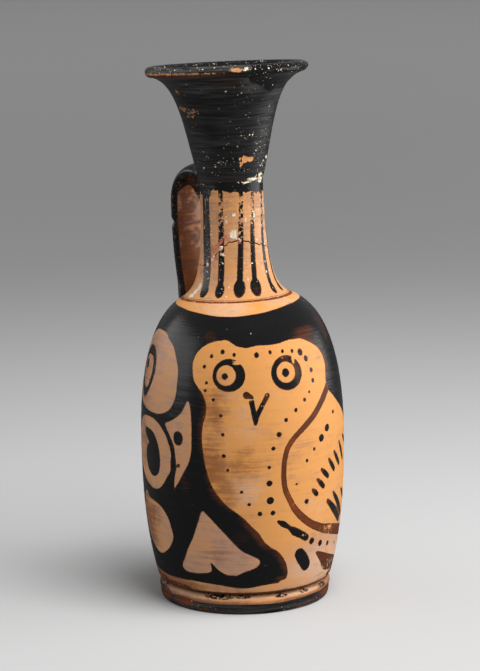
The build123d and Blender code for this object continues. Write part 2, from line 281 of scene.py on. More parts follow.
# Foot: its side as inset from the widest radius and rise, and the end of it as inset and fall from
# the top. Then worn places, smuts on top, and patches that darken its ends and back.
FOOT_SIDE = [
    (1.4, 0), (0.8, 0.12), (0.5, 0.6), (0.3, 1.6), (0.28, 2.6), (0.05, 3.3), (0, 3.9), (0.15, 4.6),
    (0.6, 5.2), (1.3, 5.6), (1.9, 5.75),
]
FOOT_TOP = [(2.4, 0.1), (3.2, 0)]
FOOT_WORN = [
    (-82, 2.2, 16, 2.0, 1.0), (-104, 2.4, 14, 3, 1.0), (-62, 0.9, 10, 0.9, 0.7), (12, 0.8, 20, 1.2, 0.6),
    (38, 2, 18, 2.2, 0.9), (-140, 2, 20, 2, 0.8), (140, 2, 25, 2, 0.9),
]
FOOT_SMUTS = [
    (-53, 5.2, 14, 0.9, 1.0), (-36, 5.3, 8, 0.6, 0.8), (-10, 5.1, 7, 0.7, 0.9), (9, 5.1, 6, 0.7, 0.9),
    (-110, 4.6, 20, 1.4, 0.9), (30, 4.7, 9, 1.0, 0.8), (110, 5, 30, 0.8, 0.9), (180, 5, 20, 0.8, 0.9),
]
FOOT_DARKER_ENDS = [(-112, 4, 34, 6, 1.0), (45, 4, 25, 6, 0.8), (180, 4, 60, 6, 0.5)]

# Body: smudges at its base, dark and rubbed lengths of the dilute line, pale shoulder, grit on the chain
BASE_SMUDGES = [(-108, 7.8, 20, 1.6, 1.0), (-84, 7.3, 16, 1.0, 0.9), (44, 7.6, 16, 1.4, 0.8)]
DARK_LINE = [(19, 63, 12, 6, 0.65), (4, 57, 12, 6, 0.35), (-12, 44, 3, 9, 0.25), (60, 20, 20, 4, 0.3)]
RUBBED_LINE = [(24, 23.5, 14, 2.5, 0.2), (-8, 35, 4, 6, 0.1), (60, 20, 20, 4, 0.15)]
RUBBED_TAIL = [(36, 11, 22, 3, 0.16)]
PALE_SHOULDER = [(-48, 90, 26, 5, 0.5), (20, 91, 30, 4, 0.2)]
CHAIN_GRIT = [(1.5, 23.6, 3.5, 1.2, 0.3)]

# Body, graded by height: strength of the dilute slip, and the radius that the outside is beyond
DILUTE_SLIP = [(12, 0.2), (15, 0.45), (26, 0.5), (34, 0.72), (87, 0.72), (88, 0.85)]
OUTSIDE_RADIUS = [(0, 24), (76, 24), (84, 20.5), (90, 12), (99, 12)]

# Palmette under the handle: height of its heart, and the widths of a petal and of the stem
PALMETTE_HEIGHT = 42
PETAL_WIDTHS = (1.2, 2.4, 3.6, 4.2, 2.6)
STEM_HEIGHTS = (36, 30, 22, 15)
STEM_WIDTHS = (1.5, 5.5, 7.5, 2.0)

# Neck: brown and sound tongues, and a pale, greyed patch on its right side that is painted sheen
BROWN_TONGUES = [(-7, 2.6, 5, 2, 0.4), (20, 3, 6, 2.5, 0.32)]
SOUND_TONGUES = [(-91, 22, 13, 22, 0.25)]
NECK_SHEEN_PALE = [(45, 22, 38, 14, 0.85)]
NECK_SHEEN_GREY = [(55, 24, 45, 11, 0.45)]

# Neck, graded by the rise from its seat
NECK_WEAR = [(0, 0.26), (9, 0.28), (14, 0.32), (18, 0.4), (24, 0.5), (27, 0.52), (30, 0.45), (31.5, 0.2)]
NECK_PALENESS = [(0, 0.3), (8, 0.35), (18, 0.45), (26, 0.35), (31, 0.2)]
NECK_DULLNESS = [(0, 0.3), (6, 0.4), (14, 0.5), (26, 0.5), (31, 0.3)]
NECK_SOOT = [(0, 0.12), (6, 0.2), (14, 0.38), (26, 0.42), (31, 0.42)]
NECK_GRIT = [(0, 0.04), (3, 0.2), (14, 0.2), (22, 0.3), (36, 0.2)]

# Lip: degrees, half sizes and strength of its worn lengths, rubbed inner edge, dust that also stands for
# painted sheen, and pinch
LIP_WORN = [(-85, 62, 5, 1.0), (110, 45, 5, 0.8)]
LIP_INNER_EDGE = [(-60, 80, 5, 1.0)]
LIP_DUST_AND_SHEEN = [(-50, 75, 6, 1.0), (-150, 60, 6, 0.7)]
LIP_PINCH = [(60, 30, 9, 0.5)]
BROWN_MOUTH = [(-80, 58, 60, 12, 0.15)]

# Where the fill was smeared out of the mouth's seam: degrees and spread
SMEAR = (32, 9)
LESSER_SMEAR = (8, 13)

# Lights: degrees round from the camera, reach, height, width, tallness, and whether the gloss mirrors them
LIGHTS = {
    "key": (74, 0.9, 0.36, 1.4, 0.6, False),
    "fill": (-95, 0.95, 0.36, 1.2, 0.6, True),
    "top": (42, 0.45, 1.05, 0.7, 0.6, False),
    "card": (96, 0.34, 0.105, 0.34, 0.13, True),
}
LIGHT_AIM = Vector((0, 0, 0.08))


def size_prop(name, description, default):
    """A length in metres that a user can change."""
    return bpy.props.FloatProperty(
        name=name, description=description, default=default, unit="LENGTH", precision=4)


def angle_prop(name, description, degrees):
    """An angle that a user can change."""
    return bpy.props.FloatProperty(
        name=name, description=description, default=math.radians(degrees), unit="ROTATION")


def colour_prop(name, description, default):
    """A colour that a user can change."""
    return bpy.props.FloatVectorProperty(
        name=name, description=description, default=default, subtype="COLOR", size=3, min=0, max=1)


def power_prop(name, description, default):
    """A light's power, which a user can change."""
    return bpy.props.FloatProperty(name=name, description=description, default=default, unit="POWER")


class FlaskSizes(bpy.types.PropertyGroup):
    """Sizes of the thrown pieces, worked out from the frame where it gives them."""

    foot_height: size_prop("Foot height", "Height of the disc under the body", foot_high.z)
    foot_radius: size_prop("Foot radius", "Widest radius of the foot", foot_high.x)
    body_base_radius: size_prop("Body base radius", "Radius of the body where it meets the foot", 0.0257)
    belly_radius: size_prop("Belly radius", "Widest radius of the body", body_high.x)
    belly_height: size_prop("Belly height", "Height of the widest part above the table", 0.05)
    seat_radius: size_prop("Neck seat radius", "Radius of the neck where it meets the shoulder", 0.0153)
    seat_height: size_prop("Neck seat height", "Height of the middle of the neck's seat", 0.091)
    body_wall: size_prop("Body wall", "Thickness of the thrown wall", 0.0036)
    shoulder_slope: angle_prop("Shoulder slope", "Fall of the shoulder outside the neck", 20)
    neck_lean: angle_prop("Neck lean", "Lean of the neck and mouth towards the handle", 2.9)
    neck_radius: size_prop("Neck radius", "Radius of the neck under the mouth", seam_high.x)
    neck_length: size_prop("Neck length", "Length of the neck from its seat to the seam", 0.034)
    bore_radius: size_prop("Bore radius", "Radius of the hole down the neck", 0.006)
    mend_gap: size_prop("Mend gap", "Thickness of the fill in a break", 0.0004)
    seam_gap: size_prop("Seam gap", "Thickness of the fill under the middle of the mouth", 0.0006)
    mouth_height: size_prop("Mouth height", "Height of the funnel along its own axis", 0.03317)
    mouth_tilt: angle_prop("Mouth tilt", "Angle by which the mouth is askew on the neck", 2.2)
    mouth_tilt_turn: angle_prop(
        "Mouth tilt turn", "Direction of the tilt, turned from the handle towards +X", 35)
    mouth_base_radius: size_prop("Mouth base radius", "Radius of the mouth at the seam", 0.0096)
    rim_radius: size_prop("Rim radius", "Outer radius of the lip", (mouth_high.x - mouth_low.x) / 2)
    lip_thickness: size_prop("Lip thickness", "Thickness of the rounded lip", 0.0031)
    handle_width: size_prop("Handle width", "Width of the strap", 0.013)
    handle_thickness: size_prop("Handle thickness", "Thickness of the strap in its middle", 0.005)
    handle_reach: size_prop("Handle reach", "Distance from the body's axis to the strap's middle", 0.0259)
    arch_radius: size_prop("Arch radius", "Radius of the bend at the handle's top", 0.0095)


class FlaskColours(bpy.types.PropertyGroup):
    """Colours of the clay, the paint, the mends and the stage."""

    clay: colour_prop("Clay", "Orange of the burnished clay", (0.595, 0.263, 0.073))
    pale_clay: colour_prop("Pale clay", "Rubbed clay without its ochre wash", (0.6, 0.39, 0.27))
    dull_clay: colour_prop(
        "Dull clay", "Pinkish clay of the leaves, which had no ochre wash", (0.41, 0.236, 0.164))
    stained_clay: colour_prop(
        "Stained clay", "Bare clay of the handle, stained by old dirt", (0.3, 0.15, 0.11))
    clay_streak: colour_prop("Clay streak", "Brown dirt among the crumbs of a stain", (0.4, 0.15, 0.045))
    # The tint darkens the clay for soot, and for painted shade where a piece lays it on
    streak_tint: colour_prop(
        "Streak tint", "How far the streaks and the soot darken the clay", (0.52, 0.395, 0.29))
    # The grey stands for dust on the gloss, and also for painted sheen
    dust_and_sheen: colour_prop("Dusty gloss", "Gloss that has gone matt and grey", (0.05, 0.05, 0.05))
    gloss: colour_prop("Gloss", "Black gloss slip where it is thick", (0.006, 0.006, 0.0062))
    thin_gloss: colour_prop(
        "Thin gloss", "Gloss slip where it is thin and fired brown", (0.075, 0.019, 0.005))
    wash: colour_prop("Dilute wash", "Thinned slip used for the wing's line", (0.23, 0.045, 0.0015))
    speck: colour_prop("Speck", "Pale grit and lime on the surface", (0.68, 0.58, 0.43))
    fill: colour_prop("Mend fill", "Cream plaster in the breaks", (0.8, 0.73, 0.58))
    glue: colour_prop("Old glue", "Pink adhesive squeezed out of the neck's break", (0.5, 0.15, 0.11))
    # Dark dirt and painted shade in an open crack
    crack: colour_prop("Crack", "Dark dirt in a crack that the fill leaves open", (0.03, 0.014, 0.008))
    # The floor's greys are painted light: paler beside the flask, and brighter far off to make up for the
    # lamps' fall-off
    floor: colour_prop("Floor", "Pale floor beside the flask", (0.46, 0.46, 0.46))
    mirrored_floor: colour_prop(
        "Mirrored floor", "Grey of the floor as the gloss mirrors it", (0.08, 0.08, 0.08))
    mid_floor: colour_prop(
        "Floor behind", "Grey of the floor a little way from the flask", (0.285, 0.285, 0.285))
    far_floor: colour_prop("Far floor", "Grey of the floor far from the flask", (0.8, 0.8, 0.8))


class FlaskStage(bpy.types.PropertyGroup):
    """Camera and light."""

    camera_turn: angle_prop("Camera turn", "Angle of the camera round from the front, towards +X", -35)
    camera_reach: size_prop("Camera reach", "Level distance of the camera from the axis", 0.86)
    camera_height: size_prop("Camera height", "Height of the camera above the table", 0.25638)
    camera_pitch: angle_prop("Camera pitch", "Angle by which the camera looks down", 11.687)
    camera_roll: angle_prop("Camera roll", "Turn of the picture, which leans the flask to the left", 0.9)
    camera_side: size_prop("Camera side", "Shift of the camera to its right", -0.0003)
    lens: bpy.props.FloatProperty(
        name="Lens", description="Focal length on a 36 mm sensor", default=159.16, unit="CAMERA")
    key_power: power_prop("Key light", "Power of the large soft light on the right", 7.9)
    fill_power: power_prop("Fill light", "Power of the soft light on the left", 4.1)
    top_power: power_prop("Top light", "Power of the soft light overhead", 15.0)
    card_power: power_prop("Card", "Power of the bright card low on the right", 0.35)
    room_light: bpy.props.FloatProperty(
        name="Room light", description="Brightness of the light from all round", default=0.2, min=0)


def curve(start, start_hold, end_hold, end, steps):
    """Points along a cubic curve, ends included."""
    t = np.linspace(0, 1, steps + 1)[:, None]
    ends = np.array([start, start_hold, end_hold, end], float)
    weights = np.hstack([(1 - t) ** 3, 3 * t * (1 - t) ** 2, 3 * t * t * (1 - t), t ** 3])
    return weights @ ends


def run_along(points):
    """How far along a line each of its points is."""
    return np.concatenate([[0], np.cumsum(np.linalg.norm(np.diff(points, axis=0), axis=1))])


def even(points, step):
    """The same line, with points at an even step along it."""
    points = np.asarray(points, float)
    run = run_along(points)
    at = np.linspace(0, run[-1], max(1, round(run[-1] / step)) + 1)
    return np.column_stack([np.interp(at, run, points[:, k]) for k in range(points.shape[1])])


def drawn(points, closed, steps=5):
    """A smooth line through given points. A point given twice is a corner."""
    points = np.array(points, float)
    if closed:
        before, after, last = np.roll(points, 1, 0), np.roll(points, -1, 0), np.roll(points, -2, 0)
    else:
        padded = np.vstack([2 * points[0] - points[1], points, 2 * points[-1] - points[-2]])
        before, points, after, last = padded[:-3], padded[1:-2], padded[2:-1], padded[3:]
    t = (np.arange(steps) / steps)[None, :, None]
    a, b, c, d = (p[:, None, :] for p in (before, points, after, last))
    line = b + 0.5 * t * (c - a + t * (2 * a - 5 * b + 4 * c - d + t * (3 * (b - c) + d - a)))
    line = line.reshape(-1, points.shape[1])
    return line if closed else np.vstack([line, after[-1]])


def smooth_step(low, high, value):
    """Rises smoothly from 0 at the low value to 1 at the high one."""
    t = np.clip((value - low) / (high - low), 0, 1)
    return t * t * (3 - 2 * t)


def bell(value, middle, spread):
    """Rises smoothly to 1 at the middle and falls again."""
    return np.exp(-(((value - middle) / spread) ** 2))


def graded(value, table):
    """What a table of pairs gives at each value."""
    return np.interp(value, *zip(*table))


def most(*rows):
    """The largest of several rows of values at each vertex."""
    return np.maximum.reduce(rows)


def crumbled(co, coarse, fine, share):
    """Uneven values at each vertex: coarse noise, and a share of finer noise."""
    return np.array([noise.noise(Vector(p) * coarse) + share * noise.noise(Vector(p) * fine) for p in co])


def parts(geometry, kind):
    """Those of some bmesh geometry that are of one kind."""
    return [part for part in geometry if isinstance(part, kind)]


def turned(outline, segments):
    """A mesh made by turning an outline of radius and height once round the Z axis. It keeps how
    far along the outline each vertex is, as a share of the outline's length."""
    bm = bmesh.new()
    along = bm.verts.layers.float.new("along")
    outline = np.asarray(outline, float)
    run = run_along(outline)
    verts = []
    for (radius, height), length in zip(outline, run):
        vert = bm.verts.new((radius, 0, height))
        vert[along] = length / run[-1]
        verts.append(vert)
    edges = [bm.edges.new(ends) for ends in zip(verts, verts[1:])]
    bmesh.ops.spin(
        bm, geom=verts + edges, cent=(0, 0, 0), axis=(0, 0, 1), angle=2 * math.pi / WEDGES,
        steps=segments // WEDGES)
    wedge = bm.verts[:] + bm.edges[:] + bm.faces[:]
    for turn in range(1, WEDGES):
        copied = bmesh.ops.duplicate(bm, geom=wedge)["geom"]
        bmesh.ops.rotate(
            bm, cent=(0, 0, 0), matrix=Matrix.Rotation(2 * math.pi * turn / WEDGES, 3, "Z"),
            verts=parts(copied, bmesh.types.BMVert))
    bmesh.ops.remove_doubles(bm, verts=bm.verts, dist=1e-6)
    bmesh.ops.recalc_face_normals(bm, faces=bm.faces)
    return bm


def places(mesh):
    """The mesh's vertices as rows of x, y and z in millimetres."""
    co = np.zeros(len(mesh.vertices) * 3, np.float32)
    mesh.vertices.foreach_get("co", co)
    return co.reshape(-1, 3).astype(float) / MM


def kept_layer(mesh, name):
    """Values that the bmesh kept at each vertex."""
    values = np.zeros(len(mesh.vertices), np.float32)
    mesh.attributes[name].data.foreach_get("value", values)
    return values


class Wall:
    """The side of a turned piece, unrolled: degrees round and millimetres up at each vertex, and
    distances in millimetres into what is drawn on it, negative outside."""

    FAR = -4.0

    def __init__(self, mesh, radius):
        self.co = places(mesh)
        self.degrees = np.degrees(np.arctan2(self.co[:, 0], -self.co[:, 1]))
        self.heights = self.co[:, 2]
        self.radii = np.hypot(self.co[:, 0], self.co[:, 1])
        self.scale = math.radians(1) * radius

    def blank(self):
        """Nothing drawn anywhere."""
        return np.full(len(self.heights), self.FAR)

    def flat(self, centre):
        """Vertices laid flat, cut open opposite the given angle."""
        turn = (self.degrees - centre + 180) % 360 - 180 + centre
        return np.column_stack([turn * self.scale, self.heights])

    def near(self, line, reach):
        """Flat vertices near a line, the line itself laid flat, and which vertices they are."""
        flat = self.flat(line[:, 0].mean())
        line = line * (self.scale, 1)
        inside = np.all((flat > line.min(0) - reach) & (flat < line.max(0) + reach), axis=1)
        return flat[inside], line, inside

    def nearest(self, flat, a, b):
        """How far along the line from a to b each flat vertex is, as a share, and its distance from it."""
        run = b - a
        share = np.clip(((flat - a) @ run) / max(run @ run, 1e-12), 0, 1)
        return share, np.hypot(*(flat - a - share[:, None] * run).T)

    def area(self, points):
        """Distance into a closed shape."""
        found = self.blank()
        flat, line, inside = self.near(drawn(points, True), -self.FAR)
        edge = np.full(len(flat), np.inf)
        odd = np.zeros(len(flat), bool)
        for a, b in zip(line, np.roll(line, -1, 0)):
            edge = np.minimum(edge, self.nearest(flat, a, b)[1])
            if a[1] != b[1]:
                level = (flat[:, 1] - a[1]) / (b[1] - a[1])
                odd ^= (level >= 0) & (level < 1) & (flat[:, 0] < a[0] + level * (b[0] - a[0]))
        found[inside] = np.where(odd, edge, np.maximum(-edge, self.FAR))
        return found

    def stroke(self, points, widths):
        """Distance into a brush stroke, whose width is given at each point."""
        found = self.blank()
        line = drawn(np.column_stack([points, widths]), False)
        flat, line[:, :2], inside = self.near(line[:, :2], -self.FAR)
        deepest = np.full(len(flat), self.FAR)
        for a, b in zip(line, line[1:]):
            share, gap = self.nearest(flat, a[:2], b[:2])
            deepest = np.maximum(deepest, (a[2] + share * (b[2] - a[2])) / 2 - gap)
        found[inside] = deepest
        return found

    def oval(self, centre, halves):
        """Distance into an oval, near enough for a brush mark."""
        flat = (self.flat(centre[0]) - np.array(centre) * (self.scale, 1)) / halves
        return (1 - np.hypot(*flat.T)) * min(halves)

    def dot(self, degrees, height, radius):
        """Distance into a round dot."""
        return self.oval((degrees, height), (radius, radius))

    def blobs(self, patches):
        """Soft patches, each with its centre, half sizes and strength."""
        found = np.zeros(len(self.heights))
        for degrees, height, wide, high, strength in patches:
            flat = self.flat(degrees) - np.array((degrees, height)) * (self.scale, 1)
            spread = np.hypot(flat[:, 0] / (wide * self.scale), flat[:, 1] / high)
            found = np.maximum(found, strength * smooth_step(1.3, 0.2, spread))
        return found

    def blobs_at(self, height, patches):
        """Soft patches that all lie at one height."""
        return self.blobs([(degrees, height, *sizes) for degrees, *sizes in patches])


def set_paint(mesh, **layers):
    """Writes each named row of values, or the same value everywhere, to the mesh's vertices."""
    for name, values in layers.items():
        row = np.empty(len(mesh.vertices), np.float32)
        row[:] = values
        mesh.attributes.new(name, "FLOAT", "POINT").data.foreach_set("value", row)


def unroll(mesh, segments):
    """Gives a turned piece its own map: once round across it, and along its outline up it."""
    co = places(mesh)
    corners = np.zeros(len(mesh.loops), np.int32)
    mesh.loops.foreach_get("vertex_index", corners)
    starts = np.zeros(len(mesh.polygons), np.int32)
    mesh.polygons.foreach_get("loop_start", starts)
    face = np.repeat(np.arange(len(starts)), np.diff(np.append(starts, len(corners))))
    across = (np.degrees(np.arctan2(co[:, 0], -co[:, 1])) / 360 + 0.5)[corners]
    on_axis = (np.hypot(co[:, 0], co[:, 1]) < 1e-4)[corners]
    lowest = np.minimum.reduceat(np.where(on_axis, 2, across), starts)
    highest = np.maximum.reduceat(np.where(on_axis, -2, across), starts)
    across = across + ((highest - lowest > 0.5)[face] & (across < 0.5))
    middle = np.add.reduceat(np.where(on_axis, 0, across), starts) / np.add.reduceat(1.0 - on_axis, starts)
    across = np.where(on_axis, middle[face], across) * segments / (segments + 1)
    map_places = np.column_stack([across, kept_layer(mesh, "along")[corners]])
    mesh.uv_layers.new(name="OFBake").uv.foreach_set("vector", map_places.astype(np.float32).ravel())


def made_mesh(bm, name):
    """The finished bmesh as a mesh with smooth shading and crisp corners."""
    mesh = bpy.data.meshes.new(name)
    bm.to_mesh(mesh)
    bm.free()
    mesh.shade_smooth()
    mesh.set_sharp_from_angle(angle=CREASE_ANGLE)
    return mesh


def linked(name, data):
    """A new object in the scene."""
    made = bpy.data.objects.new(name, data)
    bpy.context.scene.collection.objects.link(made)
    return made


def place_piece(mesh, material, node):
    """Puts a finished mesh in the scene in place of a node of the frame."""
    piece = linked(mesh.name, mesh)
    mesh.materials.append(material)
    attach(piece, "root")
    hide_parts(node)


class Tree:
    """Adds nodes to a material or a node group, and joins them."""

    def __init__(self, tree):
        self.tree = tree

    def feed(self, socket, value):
        """Joins a socket to another one, or sets its value."""
        if isinstance(value, bpy.types.NodeSocket):
            self.tree.links.new(value, socket)
        elif socket.type == "RGBA":
            socket.default_value = (*value, 1)
        else:
            socket.default_value = value

    def node(self, kind, inputs=None, **settings):
        """A new node with its settings and inputs."""
        node = self.tree.nodes.new(kind)
        for name, value in settings.items():
            setattr(node, name, value)
        for name, value in (inputs or {}).items():
            self.feed(node.inputs[name], value)
        return node

    def math(self, operation, *values):
        return self.node("ShaderNodeMath", dict(enumerate(values)), operation=operation).outputs[0]

    def times(self, a, b):
        return self.math("MULTIPLY", a, b)

    def plus(self, start, value, amount=1.0):
        """An amount of a value added to the start."""
        return self.math("MULTIPLY_ADD", value, amount, start)

    def step(self, value, low, high, to_low=0.0, to_high=1.0):
        """Value taken smoothly from one range to another."""
        inputs = {"Value": value, "From Min": low, "From Max": high, "To Min": to_low, "To Max": to_high}
        return self.node("ShaderNodeMapRange", inputs, interpolation_type="SMOOTHSTEP").outputs[0]

    def mix(self, share, a, b, how="MIX"):
        """Colour b laid over colour a by its share."""
        return self.node("ShaderNodeMix", {0: share, 6: a, 7: b}, data_type="RGBA", blend_type=how).outputs[2]

    def blend(self, share, a, b):
        """Value b in place of value a by its share."""
        return self.node("ShaderNodeMix", {0: share, 2: a, 3: b}, data_type="FLOAT").outputs[0]

    def noise(self, place, scale, detail=3.0, rough=0.55):
        """Noise from 0 to 1."""
        inputs = {"Vector": place, "Scale": scale, "Detail": detail, "Roughness": rough}
        return self.node("ShaderNodeTexNoise", inputs).outputs["Fac"]

    def waver(self, place, scale, detail, rough):
        """The same noise about a middle of 0."""
        return self.math("SUBTRACT", self.noise(place, scale, detail, rough), 0.5)

    def stretched(self, place, scale):
        """The place with each axis scaled by its own amount."""
        return self.node("ShaderNodeVectorMath", {0: place, 1: scale}, operation="MULTIPLY").outputs[0]

    def layer(self, name):
        """A vertex attribute of the piece."""
        return self.node("ShaderNodeAttribute", attribute_name=name).outputs["Fac"]

    def group(self, name, **inputs):
        """One of the shared node groups."""
        return self.node("ShaderNodeGroup", inputs, node_tree=shared_groups()[name]).outputs

    def bump(self, height, distance):
        """Normals bent by a height."""
        inputs = {"Height": height, "Distance": distance, "Strength": 1.0}
        return self.node("ShaderNodeBump", inputs).outputs[0]


VALUE = "NodeSocketFloat"
COLOUR = "NodeSocketColor"
VECTOR = "NodeSocketVector"
CLAY_ROUGHNESS = 0.5
GLOSS_ROUGHNESS = 0.25
STAIN_ROUGHNESS = 0.7
SPECK_ROUGHNESS = 0.75
CLAY_SPECULAR = 0.32
FLOOR_ROUGHNESS = 0.9
FLOOR_SPECULAR = 0.1


def new_group(name, inputs, outputs):
    """A node group with named sockets: its helper, its inputs and the inputs of its output node."""
    group = bpy.data.node_groups.new(name, "ShaderNodeTree")
    for way, sockets in (("INPUT", inputs), ("OUTPUT", outputs)):
        for socket, kind in sockets.items():
            group.interface.new_socket(socket, in_out=way, socket_type=kind)
    tree = Tree(group)
    return tree, tree.node("NodeGroupInput").outputs, tree.node("NodeGroupOutput").inputs


def wheel_streak_group():
    """Level lines left by the wheel and the brush, about a middle of 0: hair lines, and brush lines
    about a millimetre apart."""
    tree, given, out = new_group("wheel streaks", {"Place": VECTOR}, {"Fine": VALUE, "Brush": VALUE})
    for name, scale, detail in (("Fine", (0.09, 0.09, 3.2), 4.0), ("Brush", (0.07, 0.07, 1.1), 2.0)):
        tree.feed(out[name], tree.waver(tree.stretched(given["Place"], scale), 1.0, detail, 0.65))


def speck_group():
    """Small ragged specks in loose clusters. Amount is the share of cells that hold one, and Size
    their radius in cells of about a millimetre."""
    tree, given, out = new_group(
        "specks", {"Place": VECTOR, "Amount": VALUE, "Size": VALUE}, {"Mask": VALUE})
    uneven = tree.node("ShaderNodeTexNoise", {"Vector": given["Place"], "Scale": 2.4, "Detail": 2.0})
    ragged = tree.node(
        "ShaderNodeVectorMath", {0: uneven.outputs["Color"], 1: (0.5, 0.5, 0.5), 2: given["Place"]},
        operation="MULTIPLY_ADD").outputs[0]
    cluster = tree.step(tree.noise(given["Place"], 0.22, 2.0), 0.38, 0.62, 0.25, 1.6)
    mask = 0.0
    for scale, share in ((1.2, 0.6), (2.7, 0.5)):
        cells = tree.node("ShaderNodeTexVoronoi", {"Vector": ragged, "Scale": scale})
        chance = tree.node("ShaderNodeSeparateColor", {"Color": cells.outputs["Color"]}).outputs
        amount = tree.times(tree.times(given["Amount"], cluster), share)
        held = tree.math("LESS_THAN", chance[0], amount)
        size = tree.times(given["Size"], tree.step(chance[1], 0.0, 1.0, 0.4, 1.7))
        near = tree.math("LESS_THAN", cells.outputs["Distance"], size)
        mask = tree.math("MAXIMUM", mask, tree.times(held, near))
    tree.feed(out["Mask"], mask)


def fired_clay_group():
    """Burnished clay: orange to pale or dull, with streaks, clouds, flecks and a grain in millimetres."""
    tree, given, out = new_group(
        "fired clay",
        {"Place": VECTOR, "Paleness": VALUE, "Dullness": VALUE, "Soot": VALUE, "Clay": COLOUR, "Pale": COLOUR,
         "Dull": COLOUR, "Tint": COLOUR},
        {"Color": COLOUR, "Grain": VALUE})
    place = given["Place"]
    lines = tree.group("wheel streaks", Place=place)
    unevenness = (
        lines["Brush"], lines["Fine"], tree.waver(place, 0.4, 4.0, 0.65), tree.waver(place, 0.085, 4.0, 0.6))
    fleck = tree.noise(place, 1.2, 4.0, 0.7)
    grain = tree.noise(place, 5.0, 2.0, 0.6)

    def uneven(start, *amounts):
        """A value with brush lines, hair lines, blotches and clouds added in the given amounts."""
        for part, amount in zip(unevenness, amounts):
            start = tree.plus(start, part, amount)
        return start

    patchy = tree.step(uneven(0.5, 1.6, 1.0, 1.2, 2.2), 0.2, 0.8, 0.45, 1.0)
    colour = tree.mix(tree.times(given["Dullness"], patchy), given["Clay"], given["Dull"])
    pale = tree.step(uneven(given["Paleness"], 1.2, 1.6, 1.3, 1.5), 0.2, 1.15, 0.0, 0.75)
    colour = tree.mix(pale, colour, given["Pale"])
    # Darkening by soot, and painted shade where a piece lays it on
    dark = tree.step(uneven(given["Soot"], 1.5, 1.5, 1.6, 2.0), 0.05, 1.3)
    colour = tree.mix(dark, colour, given["Tint"], "MULTIPLY")
    colour = tree.mix(tree.step(fleck, 0.6, 0.78, 0.0, 0.5), colour, given["Tint"], "MULTIPLY")
    colour = tree.mix(tree.step(grain, 0.66, 0.8, 0.0, 0.3), colour, given["Pale"])
    tree.feed(out["Color"], colour)
    tree.feed(out["Grain"], tree.plus(tree.times(grain, 0.012), lines["Fine"], 0.02))


def gloss_slip_group():
    """Painted slip. Depth is the distance inside its edge in millimetres, Thinness how brown it
    fired, Rim how much browner at its edge and Wear how much has flaked off. Lines is the relief
    left by the brush."""
    tree, given, out = new_group(
        "gloss slip",
        {"Place": VECTOR, "Depth": VALUE, "Thinness": VALUE, "Wear": VALUE, "Rim": VALUE, "Black": COLOUR,
         "Brown": COLOUR},
        {"Mask": VALUE, "Color": COLOUR, "Roughness": VALUE, "Lines": VALUE})
    place = given["Place"]
    lines = tree.group("wheel streaks", Place=place)
    fine, brush = lines["Fine"], lines["Brush"]
    depth = tree.plus(given["Depth"], tree.waver(place, 1.6, 3.0, 0.6), 0.35)
    painted = tree.step(depth, -0.07, 0.07)
    flakes = tree.math("SUBTRACT", tree.noise(place, 1.2, 4.0, 0.68), given["Wear"])
    cloud = tree.noise(place, 0.17, 3.0, 0.6)
    edge = tree.times(tree.step(depth, 0.0, 0.6, 1.0, 0.0), tree.step(cloud, 0.35, 0.62, 0.3, 0.95))
    brown = tree.plus(given["Thinness"], fine, 1.1)
    brown = tree.plus(brown, edge, given["Rim"])
    brown = tree.plus(brown, tree.math("SUBTRACT", cloud, 0.6), 0.8)
    brown = tree.step(brown, 0.15, 1.1)
    rough = tree.plus(GLOSS_ROUGHNESS, tree.plus(fine, brush), 0.25)
    tree.feed(out["Mask"], tree.times(painted, tree.step(flakes, -0.03, 0.03)))
    tree.feed(out["Color"], tree.mix(brown, given["Black"], given["Brown"]))
    tree.feed(out["Roughness"], tree.plus(rough, brown, 0.12))
    tree.feed(out["Lines"], tree.plus(tree.times(brush, 0.06), fine, 0.04))


def shared_groups():
    """The node groups that the painted materials share. Each is made once, streaks first."""
    groups = bpy.data.node_groups
    if "wheel streaks" not in groups:
        wheel_streak_group()
        speck_group()
        fired_clay_group()
        gloss_slip_group()
    return groups


def new_material(name):
    """A new material, its helper and the inputs of its shader."""
    material = bpy.data.materials.new(name)
    material.use_nodes = True
    return material, Tree(material.node_tree), material.node_tree.nodes["Principled BSDF"].inputs


def place_in_mm(tree, lean):
    """Object coordinates in millimetres, turned upright where the piece leans."""
    found = tree.node("ShaderNodeTexCoord").outputs["Object"]
    inputs = {"Vector": found, "Rotation": (lean, 0, 0), "Scale": (1 / MM, 1 / MM, 1 / MM)}
    return tree.node("ShaderNodeMapping", inputs).outputs[0]


